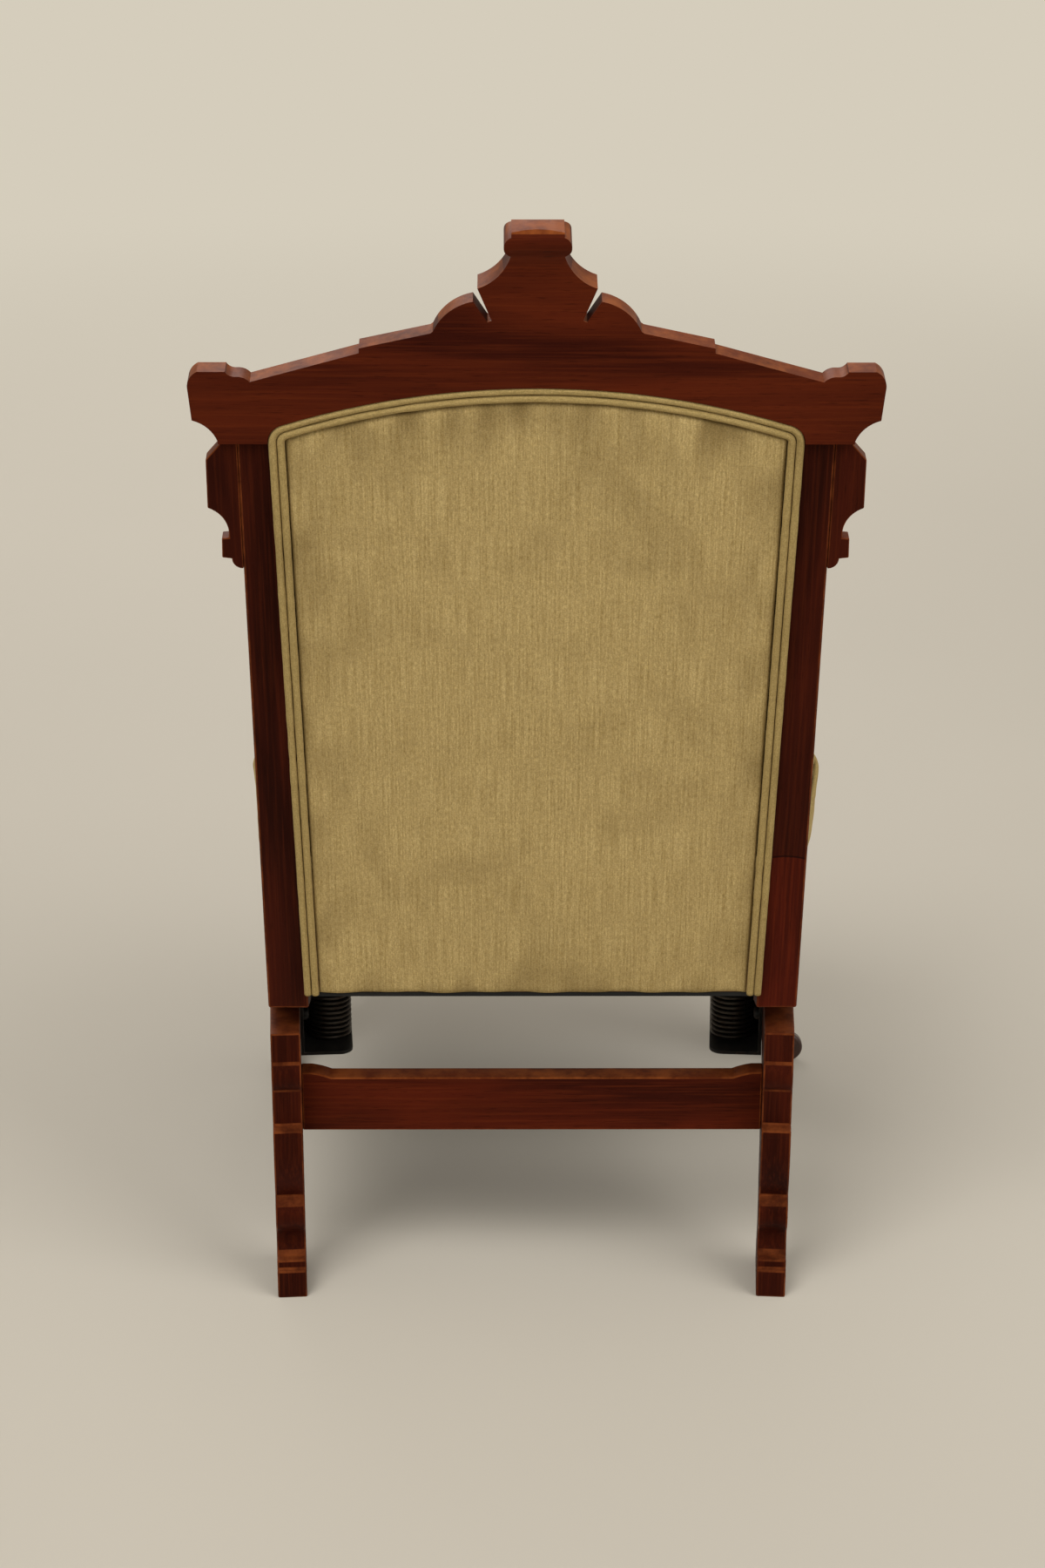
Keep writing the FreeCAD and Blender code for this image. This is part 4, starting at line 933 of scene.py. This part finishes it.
@dataclass
class OutsideBack:
    """The cloth-covered panel that closes the back, and its double welt."""

    top_half: float = 0.208
    foot_half: float = 0.200
    foot: float = 0.028
    peak: float = 0.6205
    shoulder: float = 0.5845
    corner: float = 0.016
    welt: float = 0.0064
    gap: float = 0.0002
    thick: float = 0.004

    def outline(self, inset: float) -> tuple[np.ndarray, float, float]:
        """Follows the panel's edge up one side, over the arch and down the other.

        The sides are straight, the top is one arc through both shoulders and the peak,
        and an arc of the corner radius touches both where they meet.

        Args:
            inset: How far inside the outline.

        Returns:
            Points (x, s), the arch's radius and the height of its centre.
        """
        rise = self.peak - self.shoulder
        arch = (self.top_half**2 + rise**2) / (2 * rise)
        centre = self.peak - arch
        ux, us = unit(np.array([self.top_half - self.foot_half, self.shoulder - self.foot]))
        nx, ns = -us, ux
        bx, bs = self.foot_half + nx * self.corner, self.foot + ns * self.corner - centre
        along = bx * ux + bs * us
        run = -along + math.sqrt(along**2 - (bx**2 + bs**2 - (arch - self.corner) ** 2))
        hub = np.array([bx + run * ux, bs + run * us])
        out = unit(hub)
        square = np.array([-nx, -ns])
        side, middle, join = (
            complex(*(hub + [0, centre] + way * (self.corner - inset)))
            for way in (square, unit(out + square), out)
        )
        half = np.concatenate([
            [complex(self.foot_half + nx * inset, self.foot + ns * inset), side],
            arc(side, middle, join, 14)[1:],
            arc(join, complex(0, self.peak - inset), -join.conjugate(), 81)[1:41],
        ])
        return mirrored(half), arch - inset, centre

    def welts(self) -> None:
        """Lays the two cords, slightly uneven where the stitching draws them in."""
        for turn, name in enumerate(("outer", "inner")):
            inset = self.welt / 2 + turn * (self.welt + self.gap)
            flat = even(self.outline(inset)[0], 0.0022)
            path = leaned(flat[:, 0], self.welt / 2, flat[:, 1])
            wide = self.welt / 2 * (0.985 + 0.035 * ripple(path, 0.02, 11 + turn))
            node = f"outside_back_{name}_welt"
            carried(rope(node + "_cord", path, wide, BEHIND, 14), "chair", CORDED, node)

    def panel(self) -> None:
        """Stretches the cloth over the panel.

        The rear face stands proud by the panel's thickness, falls to the rim within
        8 mm, swells by 1.5 mm in the middle and wanders by half a millimetre. It is
        painted darker along the rim, most of all under the arch, as painted shade.
        """
        edge, arch, centre = self.outline(2 * self.welt + 2 * self.gap)
        foot_x, foot_s = edge[0]
        lean = (self.top_half - self.foot_half) / (self.shoulder - self.foot)
        v, u = np.meshgrid(np.linspace(0, 1, 190), np.linspace(-1, 1, 141), indexing="ij")
        corner_s = centre + math.sqrt(arch**2 - self.top_half**2)
        top_x = (foot_x + (corner_s - foot_s) * lean) * u
        top = centre + np.sqrt(arch**2 - top_x**2)
        bottom = foot_s + 0.0011 * np.sin(u * 19) * np.cos(u * 7)
        s = bottom + v * (top - bottom)
        x = (foot_x + (s - foot_s) * lean) * u
        rim = np.minimum(np.minimum(foot_x * (1 - np.abs(u)), s - bottom), top - s)
        fall = np.clip(rim / 0.008, 0, 1)
        fall = np.sqrt(fall * (2 - fall))
        flat = np.stack([x, s], -1)
        swell = 0.0015 * (1 - u**4) * (1 - (2 * v - 1) ** 6)
        wander = 0.0004 * ripple(flat, 0.16, 3) + 0.00016 * ripple(flat, 0.035, 4)
        pull = 0.0006 * np.exp(-(s - foot_s) / 0.05) * np.sin(x * 230 + 1.3 * np.sin(x * 60))
        t = 0.0006 + (self.thick - 0.0006) * fall + (swell + wander + pull) * fall
        piece = slab("outside_back_cover", leaned(x, t, s), leaned(x, 0.0002, s), flat)
        # Painted shade: darker along the rim beside the welts and most of all under the arch, in
        # uneven patches.
        patchiness = np.clip(0.5 + 0.5 * ripple(flat * [1, 0.45], 0.035, 5), 0, 1)
        nap_and_rim_shade = 0.55 * np.exp(-np.maximum(rim, 0) / 0.03) * patchiness
        nap_and_rim_shade += 0.4 * np.exp(-(((top - s) / 0.035) ** 2)) * patchiness
        layer = piece.data.attributes.new("nap_and_rim_shade", "FLOAT", "POINT")
        both = np.concatenate([nap_and_rim_shade.ravel()] * 2)
        layer.data.foreach_set("value", both.astype(np.float32))
        carried(piece, "chair", CHENILLE, "outside_back")

    def build(self) -> None:
        """Makes the panel and its cords."""
        self.panel()
        self.welts()


@dataclass
class InsideBack:
    """The padded inside back, its cord and the straps behind it."""

    depth: float = 0.030
    half: float = 0.216
    low: float = 0.158
    high: float = 0.544
    corner: float = 0.034
    crown: float = 0.566
    gimp: float = 0.005

    def pad(self) -> None:
        """Swells the pad from its root on the straps, and lets it wander a little."""
        padding = Padding(voxel=0.0058, cap=0.007)
        piece = padding.remeshed("back_pad", "back_pad_cover", 0.0035)
        root = -self.depth - 0.0095
        padding.swell(piece, lambda points: self.depth_of(points) > root)
        padding.smooth(piece)
        points = coordinates(piece)
        free = np.clip((root - self.depth_of(points)) / 0.012, 0, 1)
        lift = 0.0008 * ripple(points, 0.11, 21) * free
        move(piece, points + normals(piece) * lift[:, None])
        padding.lay_cloth(piece, BACK_LEAN)
        carried(piece, "chair", CHENILLE, "back_pad")

    @staticmethod
    def depth_of(points: np.ndarray) -> np.ndarray:
        """Measures how far each point lies behind the rear face of the stiles."""
        return (points[:, 1] - BACK_Y) * BACK_COS - (points[:, 2] - BACK_Z) * BACK_SIN

    def cord(self) -> None:
        """Lays the cord round the pad, up one stile, over and down the other."""
        straight = complex(self.half, self.high - self.corner)
        turn = complex(self.half - 0.3 * self.corner, self.high - 0.3 * self.corner + 0.002)
        shoulder = complex(self.half - self.corner, self.high + 0.003)
        half = np.concatenate([
            [complex(self.half, self.low), straight],
            arc(straight, turn, shoulder, 12)[1:],
            arc(shoulder, complex(0, self.crown), -shoulder.conjugate(), 61)[1:31],
        ])
        flat = even(mirrored(half), 0.003)
        path = leaned(flat[:, 0], -self.depth - self.gimp / 2, flat[:, 1])
        piece = rope("back_pad_cord", path, self.gimp / 2, BEHIND, 10)
        carried(piece, "chair", CORDED, "back_pad_welt")

    def build(self) -> None:
        """Makes the pad, its cord and the straps."""
        self.pad()
        self.cord()
        Webbing().back()


@dataclass
class Webbing:
    """Jute straps, woven over and under each other between the rails."""

    strap: float = 0.050
    thick: float = 0.0015
    inner: float = 0.197
    across: int = 4

    def strip(
        self, name: str, start: np.ndarray, end: np.ndarray, up: np.ndarray, wave: np.ndarray
    ) -> Object:
        """Lays one strap.

        Args:
            name: The strap's name.
            start: Middle of one end.
            end: Middle of the other end.
            up: Direction of its thickness.
            wave: Offset along up at each step from start to end.

        Returns:
            The strap.
        """
        v = np.linspace(0, 1, len(wave))[:, None, None]
        u = np.linspace(-0.5, 0.5, 7)[None, :, None] * self.strap
        wide = np.cross(unit(end - start), up)
        middle = start + v * (end - start) + u * wide + wave[:, None, None] * up
        half = self.thick / 2 * 0.92 * up
        cloth = np.concatenate(np.broadcast_arrays(u, v * np.linalg.norm(end - start)), -1)
        return slab(name, middle + half, middle - half, cloth)

    def weave(
        self, name: str, node: str, plane: Plane, ends: tuple[float, float], along: int,
        reach: Callable[[float], float],
    ) -> None:
        """Joins straps into one piece, each bent over or under where it crosses another.

        A strap's offset is a cosine that reaches its full height at each crossing and
        changes sign from one crossing to the next.

        Args:
            name: The piece's name.
            node: The solid that it stands for.
            plane: Turns two coordinates and a height into a point.
            ends: Where the straps that run along start and end.
            along: How many run along.
            reach: Gives half the length of a strap that runs across at a height.
        """
        low, span = ends[0], ends[1] - ends[0]
        heights = [low + span * (k + 0.5) / self.across for k in range(self.across)]
        places = [self.inner * (2 * k + 1 - along) / along for k in range(along)]
        lines = [
            ((-reach(h), h), (reach(h), h), (np.array(places) + reach(h)) / (2 * reach(h)), k)
            for k, h in enumerate(heights)
        ]
        crossings = (np.array(heights) - low) / span
        lines += [((p, low), (p, ends[1]), crossings, k + 1) for k, p in enumerate(places)]
        up = unit(plane(0, 0, 1) - plane(0, 0, 0))
        straps = []
        for start, end, crossed, k in lines:
            phase = np.interp(np.linspace(0, 1, 61), crossed, np.arange(len(crossed)) * np.pi)
            wave = (1 - 2 * (k % 2)) * self.thick / 2 * np.cos(phase)
            label = f"{name}_{len(straps)}"
            straps.append(self.strip(label, plane(*start, 0), plane(*end, 0), up, wave))
        bpy.ops.object.select_all(action="DESELECT")
        for strap in straps:
            strap.select_set(True)
        bpy.context.view_layer.objects.active = straps[0]
        bpy.ops.object.join()
        joined = bpy.context.view_layer.objects.active
        joined.name = name
        carried(joined, "chair", JUTE, node)

    def back(self) -> None:
        """Weaves the straps of the back, on the front of the stiles."""

        def plane(x: float, s: float, lift: float) -> np.ndarray:
            """Places a point in front of the stiles."""
            return leaned(x, -0.030 - self.thick - lift, s)

        self.weave("back_straps", "back_webbing", plane, (0.168, 0.541), 3, lambda s: 0.210)

    def seat(self) -> None:
        """Weaves the straps under the seat rails."""

        def plane(x: float, y: float, lift: float) -> np.ndarray:
            """Places a point under the seat rails."""
            return np.array([x, y, 0.305 - self.thick - lift])

        def reach(y: float) -> float:
            """Ends a strap 2 mm inside the rails at its rear edge."""
            return rail_inside(y + self.strap / 2) - 0.002

        self.weave("seat_straps", "seat_webbing", plane, (-0.268, 0.139), 4, reach)


@dataclass
class SeatFrame:
    """Rails, blocks, rockers and the cloths and straps under the seat."""

    def build(self) -> None:
        """Planes the wood, dresses the iron and stretches the cloths."""
        for side in SIDES:
            planed(f"{side}_seat_rail", "chair", ALONG)
            planed(f"{side}_rocker", "chair", ALONG)
            planed(f"{side}_upper_spring_bracket", "chair", STRAP_IRON, IRON_EDGE)
            STRAP_IRON.dress(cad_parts[f"{side}_upper_bracket_bolts"])
        planed("seat_front_rail", "chair", ACROSS)
        planed("seat_rear_rail", "chair", BEECH, 0.001)
        planed("seat_corner_blocks", "chair", BEECH, 0.001)
        Webbing().seat()
        self.dust_cover()

    def dust_cover(self) -> None:
        """Stretches the black cloth, which sags by 3 mm in the middle, and folds its hem.

        The cloth is a grid between the front edge and the rear rail, whose half width
        follows the rails and steps in at the stiles. Its last rows turn up behind the
        rear rail as the hem.
        """
        top, thick = 0.3020, 0.0011
        front, step, rear = -0.276, 0.129, 0.1692
        y = np.concatenate([np.linspace(front, step, 90), np.linspace(step + 0.0005, rear, 12)])
        half = np.where(y <= step, rail_inside(y) - 0.002, 0.196)
        x = half[:, None] * np.linspace(-1, 1, 97)
        deep = y[:, None] + 0 * x
        middle = np.clip(1 - (x / 0.150) ** 2, 0, 1)
        ends = np.clip((deep - front) * (rear - deep) / 0.04, 0, 1)
        flat = np.stack([x, deep], -1)
        z = top - middle * ends * (0.0026 + 0.0006 * ripple(flat, 0.09, 31))
        hem_z = np.linspace(top, 0.3050, 5)[1:]
        up = np.stack(np.broadcast_arrays(x[-1][None], rear, hem_z[:, None]), -1)
        outer = np.concatenate([np.stack([x, deep, z - thick], -1), up])
        inner = np.stack([x, np.minimum(deep, rear - thick), z], -1)
        inner = np.concatenate([inner, up - [0, thick, 0]])
        cloth = np.concatenate([flat, up[..., ::2]])
        piece = slab("dust_cover_cloth", outer, inner, cloth)
        carried(piece, "chair", CAMBRIC, "dust_cover")


@dataclass
class SeatUpholstery:
    """The seat's cushion, the band round its frame, the cord between them and the stuffing."""

    rear_y: float = 0.150
    rear_half: float = 0.234
    knee_half: float = 0.277
    knee_y: float = -0.180
    front_half: float = 0.262
    front_y: float = -0.306
    corner: float = 0.036
    knee_round: float = 0.120
    band_low: float = 0.343
    band_top: float = 0.386
    cord: float = 0.006
    step: float = 0.003

    def outline(self, share: float) -> np.ndarray:
        """Follows the seat's edge from the left stile round the front to the right stile.

        Straight runs, with an arc at each knee and at each front corner.

        Args:
            share: Scale about the middle of the seat.

        Returns:
            Points (x, y), evenly spaced.
        """
        half = np.array([
            (self.rear_half, self.rear_y), (self.knee_half, self.knee_y),
            (self.front_half, self.front_y),
        ])
        middle = [0, (self.rear_y + self.front_y) / 2]
        corners = (np.concatenate([half, half[::-1] * [-1, 1]]) - middle) * share + middle
        radii = [self.knee_round, self.corner, self.corner, self.knee_round]
        points = [corners[:1]]
        for before, at, after, radius in zip(corners, corners[1:], corners[2:], radii):
            a, b = unit(before - at), unit(after - at)
            half_turn = math.acos(float(a @ b)) / 2
            run = radius / math.tan(half_turn)
            reach = radius / math.sin(half_turn) - radius
            turned = arc(*(complex(*(at + w)) for w in (a * run, unit(a + b) * reach, b * run)), 24)
            points.append(np.stack([turned.real, turned.imag], -1))
        return even(np.concatenate([*points, corners[-1:]]), self.step)

    @staticmethod
    def frame_edge(points: np.ndarray) -> np.ndarray:
        """Finds the nearest place on the wooden frame for points round the seat.

        Args:
            points: Places (x, y) round the seat.

        Returns:
            The nearest places on the frame's outside.
        """
        front, radius, thick = -0.2846, 0.0283, 0.0208
        wide = rail_inside(front) + thick
        start = complex(wide - 0.002, front + radius)
        turn = complex(wide - radius * 0.32, front + radius * 0.3)
        corner = arc(start, turn, complex(wide - radius, front), 20)
        side = np.linspace(complex(RAIL_X + thick, RAIL_Y), start, 400)
        line = mirrored(
            np.concatenate([side, corner, np.linspace(corner[-1], complex(0, front), 250)])
        )
        return line[((points[:, None] - line[None]) ** 2).sum(-1).argmin(1)]

    def band(self) -> None:
        """Pads the band round the frame.

        Its section bulges as a flattened ellipse from the frame out to the seat's
        outline. Folds where the cloth is drawn round the corners ride on the bulge.
        """
        edge = self.outline(0.99)
        root = self.frame_edge(edge)
        turn = np.linspace(0, 2 * np.pi, 29)[:-1]
        out, up = (np.sign(wave) * np.abs(wave) ** 0.62 for wave in (np.cos(turn), np.sin(turn)))
        low, top = self.band_low + 0.0008, self.band_top - self.cord / 2 - 0.0004
        run = np.arange(len(edge)) * self.step
        corner = np.exp(-(((np.abs(edge[:, 0]) - 0.245) / 0.03) ** 2)) * (edge[:, 1] < -0.23)
        folds = 0.0011 * corner * np.sin(run * 420) + 0.0005 * ripple(edge, 0.06, 41)
        share = np.clip((out + 1) / 2, 0, 1)[None, :, None]
        reach = edge + unit(edge - root + 1e-6) * folds[:, None]
        plan = root[:, None] + share * (reach - root)[:, None]
        z = (low + top) / 2 + up * (top - low) / 2
        grid = np.concatenate([plan, np.broadcast_to(z[None, :, None], (*plan.shape[:2], 1))], -1)
        girth = np.concatenate([np.abs(up - 1), [2.0]]) * (top - low) / 2
        cloth = np.stack(np.broadcast_arrays(run[:, None], girth[None]), -1)
        grid = slumped(grid) * share + grid * (1 - share)
        piece = sleeve("seat_band_cover", grid, cloth)
        carried(piece, "chair", CHENILLE, "seat_border")

    def seam_cord(self) -> None:
        """Lays the cord between the cushion and the band."""
        flat = self.outline(0.985)
        path = slumped(np.concatenate([flat, np.full((len(flat), 1), self.band_top)], -1))
        wide = self.cord / 2 * (0.985 + 0.03 * ripple(path, 0.03, 51))
        piece = rope("seat_cord", path, wide, np.array([0, 0, 1.0]))
        carried(piece, "chair", CORDED, "seat_welt")

    def cushion(self) -> None:
        """Swells the seat from its seam, and draws small folds into its front corners."""
        padding = Padding(voxel=0.0062)
        piece = padding.remeshed("seat_cushion", "seat_cushion_cover", 0.0035)
        low = self.band_top + self.cord / 2 + 0.0055
        padding.swell(piece, lambda points: points[:, 2] < low)
        padding.smooth(piece)
        points = coordinates(piece)
        x, y, z = np.abs(points[:, 0]), points[:, 1], points[:, 2]
        free = np.clip((z - low) / 0.02, 0, 1)
        near = np.exp(-(((x - 0.235) / 0.035) ** 2) - ((y + 0.275) / 0.035) ** 2)
        turn = np.arctan2(y + 0.235, x - 0.200)
        folds = 0.0016 * near * np.sin(turn * 22) * np.clip((0.437 - z) / 0.03, 0, 1)
        lift = (0.0009 * ripple(points, 0.13, 61) + folds) * free
        move(piece, slumped(points + normals(piece) * lift[:, None]))
        padding.lay_cloth(piece, 0.0)
        carried(piece, "chair", CHENILLE, "seat_cushion")

    def stuffing(self) -> None:
        """Wraps the stuffing under the cushion in burlap, softened and uneven."""
        padding = Padding()
        piece = padding.remeshed("seat_stuffing", "seat_stuffing_burlap", 0.001)
        points = coordinates(piece)
        lumps = np.clip(0.0006 * ripple(points, 0.05, 71) - 0.0006, -0.002, 0)
        move(piece, points + normals(piece) * lumps[:, None])
        piece.data.shade_smooth()
        padding.lay_cloth(piece, 0.0)
        carried(piece, "chair", BURLAP, "seat_stuffing")

    def build(self) -> None:
        """Makes the band, the cord, the cushion and the stuffing."""
        self.band()
        self.seam_cord()
        self.cushion()
        self.stuffing()


@dataclass
class Studio:
    """Floor, soft lamps and the camera."""

    eye: tuple[float, float, float] = (0.0255, 2.5871, 1.4585)
    pitch: float = 21.602
    yaw: float = -0.381
    roll: float = 0.131
    lens: float = 70.0

    @staticmethod
    def aim(thing: Object, place: tuple[float, float, float], *axes: np.ndarray) -> None:
        """Stands a camera or lamp at a place.

        Args:
            thing: The camera or lamp.
            place: Where it stands.
            axes: Its right, its up and the direction behind it.
        """
        turn = Matrix(np.stack(axes, 1).tolist()).to_4x4()
        thing.matrix_world = Matrix.Translation(place) @ turn

    def camera(self) -> None:
        """Stands the camera behind the chair, looking down at it."""
        p, q, r = (math.radians(a) for a in (self.pitch, self.yaw, self.roll))
        ahead = np.array([math.sin(q) * math.cos(p), -math.cos(q) * math.cos(p), -math.sin(p)])
        right = unit(np.cross(ahead, [0, 0, 1]))
        up = np.cross(right, ahead)
        across = right * math.cos(r) + up * math.sin(r)
        upward = up * math.cos(r) - right * math.sin(r)
        data = bpy.data.cameras.new("camera")
        data.lens, data.sensor_width, data.sensor_fit = self.lens, 36.0, "AUTO"
        data.clip_end = 60.0
        camera = placed("camera", data)
        self.aim(camera, self.eye, across, upward, -ahead)
        bpy.context.scene.camera = camera

    def backdrop(self) -> None:
        """Rolls out the paper: a floor that sweeps up into a wall in front of the chair.

        Across it is straight. Along it runs flat, turns up by a quarter circle of one
        metre and rises.
        """
        bend = np.linspace(0, np.pi / 2, 24)
        y = np.concatenate([[9.0], -6.0 - np.sin(bend), [-7.0]])
        z = np.concatenate([[0.0], 1 - np.cos(bend), [6.0]])
        x = np.array([-12.0, 12.0])
        grid = np.stack(np.broadcast_arrays(x[None], y[:, None], z[:, None]), -1)
        paper = slab("studio_floor", grid, grid - [0, 0.02, 0.02], np.zeros((*grid.shape[:2], 2)))
        StudioPaper("studio_paper").dress(paper)

    def lamp(
        self, name: str, place: tuple[float, float, float], size: float, power: float
    ) -> None:
        """Hangs one square soft lamp that looks at the chair.

        Args:
            name: The lamp's name.
            place: Where it hangs.
            size: Length of its side.
            power: In watts.
        """
        data = bpy.data.lights.new(name, "AREA")
        data.size, data.energy = size, power
        back = unit(np.array(place) - [0, 0, 0.55])
        right = unit(np.cross([0, 0, 1.0], back))
        self.aim(placed(name, data), place, right, np.cross(back, right), back)

    def build(self) -> None:
        """Sets the camera, floor, lamps and the even light around."""
        self.camera()
        self.backdrop()
        self.lamp("key", (1.4, 2.6, 3.8), 2.2, 90)
        self.lamp("fill", (-2.6, 2.0, 2.8), 2.6, 50)
        self.lamp("front", (0.6, -3.4, 3.4), 2.6, 70)
        world = bpy.data.worlds.new("even_light")
        world.use_nodes = True
        sky = world.node_tree.nodes["Background"]
        sky.inputs[0].default_value = linear("f4f1ea")
        sky.inputs[1].default_value = 0.55
        scene = bpy.context.scene
        scene.world = world
        scene.view_settings.view_transform = "Standard"


def main() -> None:
    """Builds the chair and its studio."""
    logging.basicConfig(level=logging.INFO, format="%(message)s")
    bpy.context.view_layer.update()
    for part in (
        Studio, BaseFrame, SpringSet, CasterPair, BackFrame, OutsideBack, InsideBack, SeatFrame,
        SeatUpholstery,
    ):
        part().build()
        log.info("%s built", part.__name__)
    bpy.context.view_layer.update()


if __name__ == "__main__":
    main()
